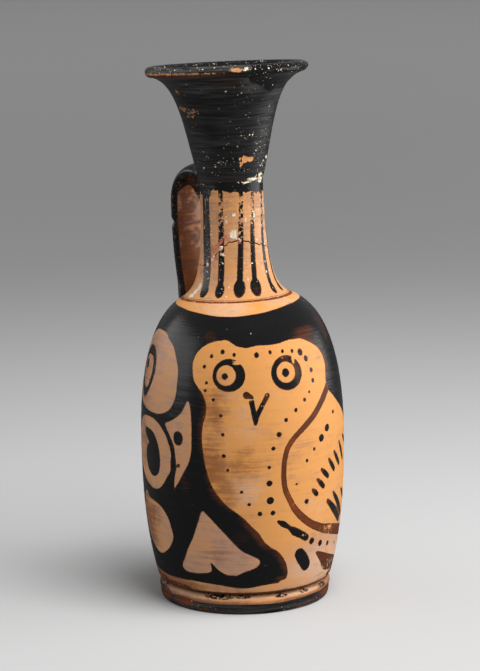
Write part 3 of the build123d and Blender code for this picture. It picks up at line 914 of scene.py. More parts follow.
def painted_clay(name, lean=0.0, brush=1.0, speck_size=0.2, bare=None):
    """Fired clay with painted slip, which reads the piece's own paint layers. The dull clay can be
    given a colour of its own."""
    if name in bpy.data.materials:
        return bpy.data.materials[name]
    colours = bpy.context.scene.flask_colours
    material, tree, shader = new_material(name)
    place = place_in_mm(tree, lean)
    clay = tree.group(
        "fired clay", Place=place, Paleness=tree.layer("pale"), Dullness=tree.layer("dull"),
        Soot=tree.layer("soot"), Clay=colours.clay, Pale=colours.pale_clay,
        Dull=bare or colours.dull_clay, Tint=colours.streak_tint)
    wash = tree.group(
        "gloss slip", Place=place, Depth=tree.layer("wash"), Thinness=tree.layer("dilute"),
        Wear=tree.layer("rub"), Rim=-0.6, Black=colours.thin_gloss, Brown=colours.wash)
    gloss = tree.group(
        "gloss slip", Place=place, Depth=tree.layer("gloss"), Thinness=tree.layer("thin"),
        Wear=tree.layer("wear"), Rim=1.0, Black=colours.gloss, Brown=colours.thin_gloss)
    matt = tree.layer("matt")
    colour = tree.mix(wash["Mask"], clay["Color"], wash["Color"])
    # Where the gloss is matt it greys along its brush lines: dust, and painted sheen
    dust_and_sheen = tree.step(tree.times(matt, tree.plus(1.0, gloss["Lines"], 80.0)), 0.0, 0.4)
    colour = tree.mix(gloss["Mask"], colour, tree.mix(dust_and_sheen, gloss["Color"], colours.dust_and_sheen))
    rough = tree.blend(gloss["Mask"], CLAY_ROUGHNESS, tree.plus(gloss["Roughness"], matt))
    height = tree.blend(gloss["Mask"], clay["Grain"], tree.plus(0.015, gloss["Lines"], brush))
    lumps = tree.noise(place, 1.3, 4.0, 0.7)
    crumbs = tree.step(tree.noise(place, 4.5, 2.0, 0.6), 0.38, 0.55, 0.65, 0.0)
    for layer, stain in (("glue", colours.glue), ("cream", colours.fill)):
        laid = tree.layer(layer)
        ragged = tree.plus(laid, tree.math("SUBTRACT", lumps, 0.5), tree.step(laid, 0.0, 0.2, 0.0, 3.2))
        mask = tree.step(ragged, 0.5, 0.62)
        colour = tree.mix(mask, colour, tree.mix(crumbs, stain, colours.clay_streak))
        rough = tree.blend(mask, rough, STAIN_ROUGHNESS)
        height = tree.plus(height, mask, tree.times(lumps, 0.25))
    grit = tree.group("specks", Place=place, Amount=tree.layer("grit"), Size=speck_size)["Mask"]
    tree.feed(shader["Base Color"], tree.mix(grit, colour, colours.speck))
    tree.feed(shader["Roughness"], tree.blend(grit, rough, SPECK_ROUGHNESS))
    tree.feed(shader["Specular IOR Level"], CLAY_SPECULAR)
    tree.feed(shader["Normal"], tree.bump(height, MM))
    return material


def mend_fill(name, first, second):
    """Matt plaster mottled with two colours, and the crack colour where it is sunk, which is dirt and painted
    shade in the crack.
    """
    if name in bpy.data.materials:
        return bpy.data.materials[name]
    material, tree, shader = new_material(name)
    place = place_in_mm(tree, 0.0)
    lumps = tree.noise(place, 1.4, 4.0, 0.65)
    pits = tree.noise(place, 6.0, 2.0, 0.6)
    colour = tree.mix(tree.step(lumps, 0.4, 0.62), first, second)
    colour = tree.mix(tree.step(pits, 0.6, 0.8, 0.0, 0.5), colour, second)
    proud = tree.step(tree.plus(tree.layer("proud"), lumps, 1.2), 0.85, 1.2)
    tree.feed(shader["Base Color"], tree.mix(proud, bpy.context.scene.flask_colours.crack, colour))
    tree.feed(shader["Roughness"], tree.step(pits, 0.3, 0.7, 0.65, 0.85))
    tree.feed(shader["Normal"], tree.bump(lumps, 0.1 * MM))
    return material


def seat_offset(sizes):
    """How far the middle of the neck's seat lies towards the handle."""
    return sizes.seat_radius * math.tan(sizes.neck_lean) / math.tan(sizes.shoulder_slope)


def stem_matrix(sizes):
    """Takes an upright neck or mouth, standing on the origin, to its leaning place."""
    seat = Vector((0, seat_offset(sizes), sizes.seat_height))
    return Matrix.Translation(seat) @ Matrix.Rotation(-sizes.neck_lean, 4, "X")


def mouth_matrix(sizes):
    """Takes an upright mouth, its heights measured from the neck's seat, to its place askew on the neck."""
    base = sizes.neck_length + sizes.seam_gap
    lean, tilt, turn = sizes.neck_lean, math.tan(sizes.mouth_tilt), sizes.mouth_tilt_turn
    up = Vector((math.sin(turn) * tilt, math.sin(lean) + math.cos(turn) * tilt, math.cos(lean))).normalized()
    across = (Vector((1, 0, 0)) - up * up.x).normalized()
    axes = Matrix((across, up.cross(across), up)).transposed().to_4x4()
    seam = stem_matrix(sizes) @ Vector((0, 0, base))
    return Matrix.Translation(seam) @ axes @ Matrix.Translation((0, 0, -base))


class FLASK_OT_stage(bpy.types.Operator):
    """Make the floor, the lights and the camera"""

    bl_idname = "flask.stage"
    bl_label = "Stage"

    FLOOR_RADIUS = 9.0
    FLOOR_SEGMENTS = 96
    CLIP_START = 0.05

    def floor_material(self, colours):
        """Pale beside the flask, greyer behind it, with a faint mottle. These greys are painted light: a pool
        of light beside the flask, and a far floor made brighter to make up for the lamps' fall-off.
        """
        material, tree, shader = new_material("studio floor")
        place = tree.node("ShaderNodeTexCoord").outputs["Object"]
        reach = tree.node("ShaderNodeVectorMath", {0: place}, operation="LENGTH").outputs["Value"]
        reach = tree.plus(reach, tree.noise(place, 6.0, 2.0), 0.02)
        grey = tree.mix(tree.step(reach, 0.05, 0.6), colours.floor, colours.mid_floor)
        grey = tree.mix(tree.step(reach, 0.5, 2.0), grey, colours.far_floor)
        mirrored = tree.node("ShaderNodeLightPath").outputs["Is Glossy Ray"]
        tree.feed(shader["Base Color"], tree.mix(mirrored, grey, colours.mirrored_floor))
        tree.feed(shader["Roughness"], FLOOR_ROUGHNESS)
        tree.feed(shader["Specular IOR Level"], FLOOR_SPECULAR)
        return material

    def make_floor(self, colours):
        bm = bmesh.new()
        bmesh.ops.create_circle(bm, cap_ends=True, segments=self.FLOOR_SEGMENTS, radius=self.FLOOR_RADIUS)
        bmesh.ops.recalc_face_normals(bm, faces=bm.faces)
        mesh = made_mesh(bm, "studio_floor")
        mesh.materials.append(self.floor_material(colours))
        floor = linked("studio_floor", mesh)

    def make_light(self, stage, name, degrees, reach, height, width, tall, mirrored):
        """A soft light at an angle round from the camera, aimed at the flask."""
        lamp = bpy.data.lights.new(name, "AREA")
        lamp.shape = "RECTANGLE"
        lamp.size = width
        lamp.size_y = tall
        lamp.energy = getattr(stage, name + "_power")
        light = linked(name, lamp)
        turn = stage.camera_turn + math.radians(degrees)
        at = Vector((math.sin(turn) * reach, -math.cos(turn) * reach, height))
        light.location = at
        light.rotation_euler = (LIGHT_AIM - at).to_track_quat("-Z", "Y").to_euler()
        light.visible_camera = False
        light.visible_glossy = mirrored

    def make_camera(self, stage):
        data = bpy.data.cameras.new("camera")
        data.lens = stage.lens
        data.clip_start = self.CLIP_START
        camera = linked("camera", data)
        turn, pitch, roll = stage.camera_turn, stage.camera_pitch, stage.camera_roll
        back = Vector((math.sin(turn), -math.cos(turn), 0))
        right = Vector((math.cos(turn), math.sin(turn), 0))
        ahead = -back * math.cos(pitch) - Vector((0, 0, math.sin(pitch)))
        up = right.cross(ahead)
        across = right * math.cos(roll) - up * math.sin(roll)
        upward = right * math.sin(roll) + up * math.cos(roll)
        place = back * stage.camera_reach + right * stage.camera_side + Vector((0, 0, stage.camera_height))
        rows = Matrix((across, upward, -ahead)).transposed().to_4x4()
        camera.matrix_world = Matrix.Translation(place) @ rows
        bpy.context.scene.camera = camera

    def execute(self, context):
        scene = context.scene
        scene.view_settings.view_transform = "Standard"
        world = bpy.data.worlds.new("room")
        world.use_nodes = True
        room = world.node_tree.nodes["Background"].inputs
        room["Color"].default_value = (1, 1, 1, 1)
        room["Strength"].default_value = scene.flask_stage.room_light
        scene.world = world
        self.make_floor(scene.flask_colours)
        for name, settings in LIGHTS.items():
            self.make_light(scene.flask_stage, name, *settings)
        self.make_camera(scene.flask_stage)
        return {"FINISHED"}


class FLASK_OT_foot(bpy.types.Operator):
    """Make the worn disc foot"""

    bl_idname = "flask.foot"
    bl_label = "Foot"

    SEGMENTS = 360
    RECESS = 1.6
    RECESS_RADIUS = 16.5
    STAND_RADIUS = 19
    INNER_RADIUS = 20
    SIDE_EDGE = 3.3
    BEAD = 4.4
    GROOVE = 5.4

    def outline(self, sizes):
        """From the middle of the recess, round the worn edge, to the middle of the top."""
        high, wide = sizes.foot_height / MM, sizes.foot_radius / MM
        side = [(wide - inset, rise) for inset, rise in FOOT_SIDE]
        side += [(wide - inset, high - fall) for inset, fall in FOOT_TOP]
        base = [(0, self.RECESS), (self.RECESS_RADIUS, self.RECESS), (self.STAND_RADIUS, 0.02), side[0]]
        return MM * np.vstack([even(base, 2)[:-1], even(drawn(side, False), 0.22), [(8, high), (0, high)]])

    def paint(self, mesh, sizes):
        """Gloss on the side and in the groove above it, worn and smutted, with a painted highlight along the
        bead and painted shade under it and in the groove.
        """
        wall = Wall(mesh, sizes.foot_radius / MM)
        rise = wall.heights
        outside = wall.radii > self.INNER_RADIUS
        above = rise > self.BEAD
        wave = 0.5 * np.sin(np.radians(wall.degrees * 3 + 20)) + 0.35 * np.sin(np.radians(wall.degrees * 7))
        side = np.minimum(self.SIDE_EDGE + 0.3 * wave - rise, rise + 0.6)
        # Gloss on the foot's top inside the bead, which also stands for the shade in the groove under the
        # body
        groove_gloss_and_shade = np.where(wall.radii < sizes.foot_radius / MM - 1.5, rise - self.GROOVE, wall.FAR)
        worn, smuts = wall.blobs(FOOT_WORN), wall.blobs(FOOT_SMUTS)
        set_paint(
            mesh,
            gloss=np.where(outside, most(side, groove_gloss_and_shade, 1.2 * smuts - 0.6), wall.FAR),
            wash=np.where(outside, 5.2 * worn - 1.8, wall.FAR),
            dilute=0.6,
            rub=0.3,
            thin=np.where(above, 0.1, 0.15 + 0.5 * worn),
            wear=np.where(above, 0.46, 0.33 + 0.22 * worn),
            # The paler band along the top of the bead is a painted highlight
            pale=0.1 + 0.75 * smooth_step(4.3, 4.8, rise) * smooth_step(5.6, 5.2, rise),
            dull=0.6,
            # Darker under the bead's middle, which is painted shade on its lower side, and darker at the ends
            # and the back
            soot=0.3 + 0.8 * smooth_step(4.5, 3.7, rise) + wall.blobs(FOOT_DARKER_ENDS),
            grit=np.where((rise > 4.8) & outside, 0.5 * smuts, 0.01),
            # The matt side of the foot greys along its brush lines: dust, and painted sheen
            matt=np.where(above, 0.0, 0.16),
        )

    def execute(self, context):
        sizes = context.scene.flask_sizes
        mesh = made_mesh(turned(self.outline(sizes), self.SEGMENTS), "thrown_foot")
        self.paint(mesh, sizes)
        unroll(mesh, self.SEGMENTS)
        place_piece(mesh, painted_clay("painted clay"), "foot")
        return {"FINISHED"}


class FLASK_OT_body(bpy.types.Operator):
    """Make the thrown body with its painted owl, leaves and shoulder"""

    bl_idname = "flask.body"
    bl_label = "Body"

    SEGMENTS = 480
    PAINT_RADIUS = 29.5
    BASE_LINE = 7.0
    LOWER_EDGE = 9.6
    RING_HEIGHT = 88
    ROW = 0.52 * MM
    FLOOR = 5 * MM
    ROUND_EDGE = [(-0.9, 0), (-0.25, 0.12), (0.12, 0.6)]
    EDGE_RISE = 0.9 * MM
    FINGER_DEPTH = 0.016
    FINGER_TOP = 80
    BASE_FLARE = 0.28
    BELLY_HOLD = 15 * MM
    SHOULDER_HOLD = 12.5 * MM
    SHOULDER_WALL = 4.4 * MM
    CLOSE_ROWS = 4 * MM
    CROWN = 12.9 * MM
    HOLE = 8.6 * MM
    UNDER = 12 * MM
    PETALS = 4
    PETAL_TURN = 24
    PETAL_START = 7
    PETAL_REACH = 25

    def side(self, sizes):
        """The body's outside from its rounded lower edge to the neck's seat."""
        base, belly = sizes.body_base_radius, sizes.belly_radius
        bottom, middle, seat = sizes.foot_height, sizes.belly_height, sizes.seat_height
        hold = (middle - bottom) / 3
        fall = self.SHOULDER_HOLD * math.tan(sizes.shoulder_slope)
        low = curve(
            (base, bottom), (base + self.BASE_FLARE * hold, bottom + hold), (belly, middle - hold),
            (belly, middle), 90)
        high = curve(
            (belly, middle), (belly, middle + self.BELLY_HOLD),
            (sizes.seat_radius + self.SHOULDER_HOLD, seat - fall), (sizes.seat_radius, seat), 90)
        line = np.vstack([low, high[1:]])
        round_edge = np.array(self.ROUND_EDGE) * MM + (base, bottom)
        return np.vstack([round_edge, line[line[:, 1] > bottom + self.EDGE_RISE]])

    def ringed(self, line):
        """The same side with the slight rings that the fingers leave on the wheel, cut inwards."""
        rise = line[:, 1] / MM
        rings = 1 + np.sin(rise * 1.9 + 1.2 * np.sin(rise * 0.37))
        depth = self.FINGER_DEPTH * rings * np.clip((rise - 9) / 6, 0, 1)
        return np.column_stack([line[:, 0] - depth * MM * (rise < self.FINGER_TOP), line[:, 1]])

    def outline(self, sizes):
        """From the middle underneath, up the outside, down the hole and back down the inside."""
        side = self.side(sizes)
        close = (side[:, 0] < sizes.seat_radius + self.CLOSE_ROWS) & (side[:, 1] > sizes.belly_height)
        start = int(np.argmax(close))
        outside = np.vstack([even(side[:start + 1], self.ROW)[:-1], even(side[start:], self.ROW / 2)])
        slope = math.tan(sizes.shoulder_slope)
        crown = [
            (radius, sizes.seat_height + (sizes.seat_radius - radius) * slope)
            for radius in (sizes.seat_radius, self.CROWN, self.HOLE)]
        crown = np.vstack([even(crown[:2], self.ROW / 2)[1:], crown[2:]])
        floor = sizes.foot_height + self.FLOOR
        ceiling = sizes.seat_height - self.SHOULDER_WALL
        inner = side[::12] - (sizes.body_wall, 0)
        inner = inner[(inner[:, 1] > floor) & (inner[:, 1] < ceiling - 3 * MM)][::-1]
        under = [(0, sizes.foot_height), (self.UNDER, sizes.foot_height)]
        bottom = [(inner[-1][0] * 0.5, floor), (0, floor)]
        return np.vstack([under, self.ringed(outside), crown, [(self.HOLE, ceiling)], inner, bottom])

    def shaped(self, sizes):
        """The turned body, with its hole in line with the neck and its top cut flat for the neck."""
        bm = turned(self.outline(sizes), self.SEGMENTS)
        upper = [v for v in bm.verts if v.co.z > sizes.seat_height * 0.9]
        hole = [v for v in upper if abs(v.co.xy.length - self.HOLE) < 0.1 * MM]
        bmesh.ops.translate(bm, verts=hole, vec=(0, seat_offset(sizes), 0))
        up = Vector((0, math.sin(sizes.neck_lean), math.cos(sizes.neck_lean)))
        bmesh.ops.bisect_plane(
            bm, geom=bm.verts[:] + bm.edges[:] + bm.faces[:], dist=1e-7, plane_no=up, clear_outer=True,
            plane_co=(0, seat_offset(sizes), sizes.seat_height))
        bmesh.ops.bridge_loops(bm, edges=[e for e in bm.edges if e.is_boundary])
        bmesh.ops.recalc_face_normals(bm, faces=bm.faces)
        return bm

    def leaves(self, wall, turn):
        """Distance into the bare leaves, and into the black marks on them."""
        def area(points):
            return wall.area([(turn(degrees), height) for degrees, height in points])

        bare = most(*(area(leaf) for leaf in LEAVES))
        curl = np.minimum(area(LEAF_CURL), -area(CURL_EYE))
        drop = wall.dot(turn(CURL_DROP[0]), *CURL_DROP[1:])
        spots = [wall.oval((turn(d), height), (r, r * 1.25)) for d, height, r in SIDE_LEAF_SPOTS]
        return bare, most(area(VOLUTE_DROP), curl, drop, *spots)

    def palmette(self, wall):
        """Distance into the bare fan of petals under the handle."""
        heart = (BACK_CENTRE, PALMETTE_HEIGHT)
        bare = wall.oval(heart, (3.6, 3.2))
        for petal in range(-self.PETALS, self.PETALS + 1):
            lean = math.radians(petal * self.PETAL_TURN)
            reach = np.linspace(self.PETAL_START, self.PETAL_REACH - 1.1 * abs(petal), len(PETAL_WIDTHS))
            line = np.outer(reach, (math.sin(lean) / wall.scale, math.cos(lean))) + heart
            bare = np.maximum(bare, wall.stroke(line, PETAL_WIDTHS))
        stem = [(BACK_CENTRE, height) for height in STEM_HEIGHTS]
        return np.maximum(bare, wall.stroke(stem, STEM_WIDTHS))

    def owl_marks(self, wall):
        """Distance into the owl's black marks."""
        marks = wall.blank()
        for centre, outer, inner, shift in EYES:
            hole = (centre[0] + shift[0] / wall.scale, centre[1] + shift[1])
            marks = np.maximum(marks, np.minimum(wall.oval(centre, outer), -wall.oval(hole, inner)))
        for dot in PUPILS + FACE_DOTS + CHEST_DOTS + WING_DOTS:
            marks = np.maximum(marks, wall.dot(*dot))
        for line, widths in BEAK + [(CHAIN, CHAIN_WIDTHS), (FOOT_SPOT, FOOT_SPOT_WIDTHS)]:
            marks = np.maximum(marks, wall.stroke(line, widths))
        for centre, halves in NICKS:
            marks = np.minimum(marks, -wall.oval(centre, halves))
        for start, end, width in FEATHERS:
            line = np.linspace(start, end, len(FEATHER_WIDTHS))
            marks = np.maximum(marks, wall.stroke(line, width * np.array(FEATHER_WIDTHS)))
        return marks

    def paint(self, mesh, sizes):
        """Black ground round the bare owl and leaves, their marks, the dilute lines and the wear."""
        wall = Wall(mesh, self.PAINT_RADIUS)
        rise = wall.heights
        on_ring = rise > self.RING_HEIGHT
        outside = wall.radii > graded(rise, OUTSIDE_RADIUS)
        owl = wall.area(OWL)
        left, left_marks = self.leaves(wall, lambda degrees: degrees)
        right, right_marks = self.leaves(wall, lambda degrees: 2 * MIRROR_LINE - degrees)
        leaves = most(left, right, self.palmette(wall))
        marks = most(left_marks, right_marks, self.owl_marks(wall))
        lower_edge = self.LOWER_EDGE + 0.15 * np.sin(np.radians(wall.degrees * 9))
        lower_edge = lower_edge - 1.3 * bell(wall.degrees, -35, 12)
        ground = np.minimum(rise - lower_edge, (graded(wall.degrees, RING_EDGE) - rise) * 2.4)
        gloss = np.maximum(np.minimum(ground, -np.maximum(owl, leaves)), marks)
        from_neck = np.hypot(wall.co[:, 0], wall.co[:, 1] - seat_offset(sizes) / MM)
        seat_line = np.where(on_ring, 0.5 - np.abs(from_neck - sizes.seat_radius / MM - 0.8), wall.FAR)
        wash = np.maximum(wall.stroke(WING_LINE, WING_LINE_WIDTHS), wall.area(TAIL))
        # Dilute slip on the body's rounded lower edge and smudges there: partly dirt, partly painted shade in
        # the groove above the foot
        smudge = wall.blobs(BASE_SMUDGES)
        base_wash_and_shade = np.maximum(self.BASE_LINE - rise, 1.4 * smudge - 0.6)
        tips = most(*(smooth_step(0, 1.2, wall.dot(*start, 2.0)) for start, _, _ in FEATHERS))
        rubbed = wall.blobs(RUBBED_MARKS) * (marks > -0.5)
        brown = np.maximum(wall.blobs(BROWN_MARKS), 0.8 * tips) * (owl > 0)
        brown_edge = smooth_step(-3.4, -0.3, owl) * (owl < 0) * wall.blobs(BROWN_EDGES)
        pale_ring = (0.3 + wall.blobs(PALE_SHOULDER)) * (rise > self.RING_HEIGHT - 1)
        set_paint(
            mesh,
            gloss=np.where(outside, gloss, wall.FAR),
            wash=np.where(outside, most(np.minimum(wash, owl), seat_line, base_wash_and_shade), wall.FAR),
            dilute=graded(rise, DILUTE_SLIP) - wall.blobs(DARK_LINE),
            rub=0.27 + wall.blobs(RUBBED_LINE) + wall.blobs(RUBBED_TAIL) + 0.2 * smudge + 0.13 * on_ring,
            thin=most(wall.blobs(THIN_GLOSS), brown, brown_edge),
            wear=np.where(marks > -0.5, 0.28, 0.22) + 0.22 * rubbed,
            pale=0.12 + wall.blobs(PALE_CLAY) * (owl > -0.5) + pale_ring,
            dull=np.maximum(0.9 * (leaves > -0.5), wall.blobs(DULL_CLAY)),
            soot=0.07 + wall.blobs(SOOTY_AND_SHADED_CLAY),
            grit=np.where(rise > 80, 0.005, 0.0008) + wall.blobs(CHAIN_GRIT),
        )

    def execute(self, context):
        sizes = context.scene.flask_sizes
        mesh = made_mesh(self.shaped(sizes), "thrown_body")
        self.paint(mesh, sizes)
        unroll(mesh, self.SEGMENTS)
        place_piece(mesh, painted_clay("painted clay"), "body")
        return {"FINISHED"}


class FLASK_OT_neck(bpy.types.Operator):
    """Make the two lengths of the neck and the fill in its break"""

    bl_idname = "flask.neck"
    bl_label = "Neck"

    SEGMENTS = 264
    PAINT_RADIUS = 9.5
    ROW = 0.3 * MM
    MIDDLE = 12 * MM
    SPIGOT = 8.4 * MM
    SPIGOT_LENGTH = 3.6 * MM
    SWEEP_IN = 3.6
    SWEEP_RISE = 2.8
    STEM_RISE = 6.5
    SEAT_LINE = 0.08
    TONGUE_END = 34
    DROP_STRETCH = 0.7
    TONGUE_RISES = (TONGUE_FOOT, 8, 17, TONGUE_TOP)
    TONGUE_TAPER = [(TONGUE_FOOT, 0.9), (9, 1.0), (17, 0.9), (TONGUE_TOP, 0.7)]

    def break_rise(self, sizes, degrees, radius_at, lift):
        """Rise of the break up the neck at each angle, on a wall whose radius is a function of it."""
        edge = drawn(BREAK_EDGE, False, 12)
        turn = math.radians(BREAK_TURN)
        sin_lean, cos_lean = math.sin(sizes.neck_lean), math.cos(sizes.neck_lean)
        angle = np.radians(degrees)
        jag = 0.16 * np.sin(angle * 23) + 0.12 * np.sin(angle * 41 + 0.9)
        rise = np.full(len(degrees), self.MIDDLE / MM)
        for _ in range(30):
            radius = radius_at(rise)
            x, y = radius * np.sin(angle), -radius * np.cos(angle)
            across = x * math.cos(turn) - (y * cos_lean + rise * sin_lean) * math.sin(turn)
            wanted = (np.interp(across, edge[:, 0], edge[:, 1]) + jag + lift + y * sin_lean) / cos_lean
            rise = 0.5 * (rise + wanted)
        return rise

    def outer_at(self, sizes, rise):
        """Radius of the neck's outside at each rise, in millimetres."""
        foot, stem, top = sizes.seat_radius / MM, sizes.neck_radius / MM, sizes.neck_length / MM
        sweep = (foot - self.SWEEP_IN, self.SWEEP_RISE)
        side = curve((foot, 0), sweep, (stem, self.STEM_RISE), (stem, top), 200)
        return np.interp(rise, side[:, 1], side[:, 0])

    def broken(self, sizes, verts, lift):
        """For each vertex, its degrees, height, whether it is outside, and the rise of the break there."""
        bore = sizes.bore_radius / MM
        co = np.array([v.co for v in verts]) / MM
        degrees = np.degrees(np.arctan2(co[:, 0], -co[:, 1]))
        outer = np.hypot(co[:, 0], co[:, 1]) > bore + 0.2
        edge = np.where(
            outer, self.break_rise(sizes, degrees, lambda rise: self.outer_at(sizes, rise), lift),
            self.break_rise(sizes, degrees, lambda rise: np.full(len(rise), bore), lift))
        return degrees, co[:, 2], outer, edge

    def move(self, verts, degrees, radius, rise):
        """Sets each vertex to a place round and up the neck."""
        for vert, angle, r, z in zip(verts, np.radians(degrees), radius, rise):
            vert.co = Vector((r * math.sin(angle), -r * math.cos(angle), z)) * MM

    def fit(self, bm, sizes, lift, low, high):
        """Moves the rows between two rises so that those at the middle follow the break."""
        middle = self.MIDDLE / MM
        verts = [v for v in bm.verts if low * MM - 1e-9 <= v.co.z <= high * MM + 1e-9]
        degrees, height, outer, edge = self.broken(sizes, verts, lift)
        far = low if high == middle else high
        rise = far + (height - far) / (middle - far) * (edge - far)
        radius = np.where(outer, self.outer_at(sizes, rise), sizes.bore_radius / MM)
        self.move(verts, degrees, radius, rise)

    def lower(self, sizes):
        """The length below the break, with the spigot that enters the body."""
        middle, bore = self.MIDDLE, sizes.bore_radius
        outside = even([(sizes.seat_radius, 0), (sizes.neck_radius, middle)], self.ROW)
        outside[:, 0] = sizes.seat_radius
        under = [(bore, -self.SPIGOT_LENGTH), (self.SPIGOT, -self.SPIGOT_LENGTH), (self.SPIGOT, -0.05 * MM)]
        under += [(sizes.seat_radius - 0.5 * MM, -0.02 * MM)]
        inside = [(bore, middle), (bore, middle / 2), (bore, 0), (bore, -self.SPIGOT_LENGTH)]
        bm = turned(np.vstack([under, outside, inside]), self.SEGMENTS)
        self.fit(bm, sizes, -sizes.mend_gap / 2 / MM, 0, middle / MM)
        return bm

    def upper(self, sizes):
        """The length above the break."""
        middle, bore, top = self.MIDDLE, sizes.bore_radius, sizes.neck_length
        outside = even([(sizes.neck_radius, middle), (sizes.neck_radius, top)], self.ROW)
        inside = [(bore, top), (bore, (middle + top) / 2), (bore, middle), outside[0]]
        bm = turned(np.vstack([outside, inside]), self.SEGMENTS)
        self.fit(bm, sizes, sizes.mend_gap / 2 / MM, middle / MM, top / MM)
        return bm

    def tongues(self, wall):
        """Distance into the painted tongues, whose feet are drops."""
        found = wall.blank()
        rise = wall.heights
        for foot, half, top, width, drop in TONGUES:
            line = np.interp(rise, self.TONGUE_RISES, (foot, (foot + half) / 2, half, top))
            gap = np.abs((wall.degrees - line + 180) % 360 - 180) * math.radians(1) * wall.radii
            half_width = graded(rise, self.TONGUE_TAPER) * width / 2
            tall = drop * self.DROP_STRETCH
            middle = TONGUE_FOOT + tall
            bulb = drop / 2 * (1 - np.hypot(gap / (drop / 2), (rise - middle) / tall))
            stroke = np.minimum(half_width - gap, np.minimum(rise - middle, self.TONGUE_END - rise))
            found = most(found, stroke, bulb)
        return found

    def paint(self, mesh, sizes):
        """Tongues, the black band under the mouth, the line at the seat, stains and wear."""
        wall = Wall(mesh, self.PAINT_RADIUS)
        rise = wall.heights
        outside = wall.radii > sizes.bore_radius / MM + 0.6
        band = rise - graded(wall.degrees, NECK_BAND) - 0.6 * crumbled(wall.co, 0.8, 2.1, 0.6)
        set_paint(
            mesh,
            gloss=np.where(outside, np.maximum(self.tongues(wall), band), wall.FAR),
            wash=np.where(outside & (rise > -0.01), self.SEAT_LINE - rise, wall.FAR),
            dilute=0.8,
            rub=0.36,
            thin=0.05 + wall.blobs(BROWN_TONGUES),
            wear=graded(rise, NECK_WEAR) - wall.blobs(SOUND_TONGUES),
            # The pale, greyed patch on the right side is painted sheen
            pale=graded(rise, NECK_PALENESS) + wall.blobs(NECK_SHEEN_PALE),
            dull=graded(rise, NECK_DULLNESS),
            soot=graded(rise, NECK_SOOT) + wall.blobs(NECK_SHEEN_GREY),
            grit=graded(rise, NECK_GRIT),
            glue=0.8 * wall.blobs(GLUE_STAINS) * outside,
            cream=wall.blobs(CREAM_STAINS) * outside,
        )

    def squeezed(self, degrees):
        """How far the fill was squeezed out of the break at each angle, from 0 to 1."""
        return most(*(bell(degrees, middle, spread) for middle, spread in SQUEEZED))

    def mend(self, sizes):
        """The fill in the break, sunk a little except where it was squeezed out."""
        bore, gap, middle = sizes.bore_radius, sizes.mend_gap, self.MIDDLE
        outside = [(sizes.neck_radius, middle + row * gap) for row in np.linspace(-0.5, 0.5, 7)]
        inside = [(bore, middle + gap / 2), (bore, middle - gap / 2), outside[0]]
        bm = turned(outside + inside, self.SEGMENTS)
        verts = bm.verts[:]
        degrees, height, outer, edge = self.broken(sizes, verts, 0)
        share = (height - middle / MM) / (gap / MM)
        bead = self.squeezed(degrees) * outer
        rise = edge + share * (gap / MM + 0.9 * bead)
        proud = 0.34 * bead * (1 - 3 * share * share) - 0.22 * (1 - bead)
        self.move(verts, degrees, np.where(outer, self.outer_at(sizes, rise) + proud, bore / MM), rise)
        return bm

    def execute(self, context):
        sizes, colours = context.scene.flask_sizes, context.scene.flask_colours
        clay = painted_clay("painted neck", sizes.neck_lean)
        for name, node, bm in (
            ("neck_foot", "neck_lower", self.lower(sizes)),
            ("neck_top", "neck_upper", self.upper(sizes)),
        ):
            mesh = made_mesh(bm, name)
            self.paint(mesh, sizes)
            unroll(mesh, self.SEGMENTS)
            mesh.transform(stem_matrix(sizes))
            place_piece(mesh, clay, node)
        mesh = made_mesh(self.mend(sizes), "neck_mend")
        set_paint(mesh, proud=self.squeezed(Wall(mesh, self.PAINT_RADIUS).degrees))
        mesh.transform(stem_matrix(sizes))
        fill = mend_fill("glued fill", colours.fill, colours.glue)
        place_piece(mesh, fill, "neck_break_fill")
        return {"FINISHED"}


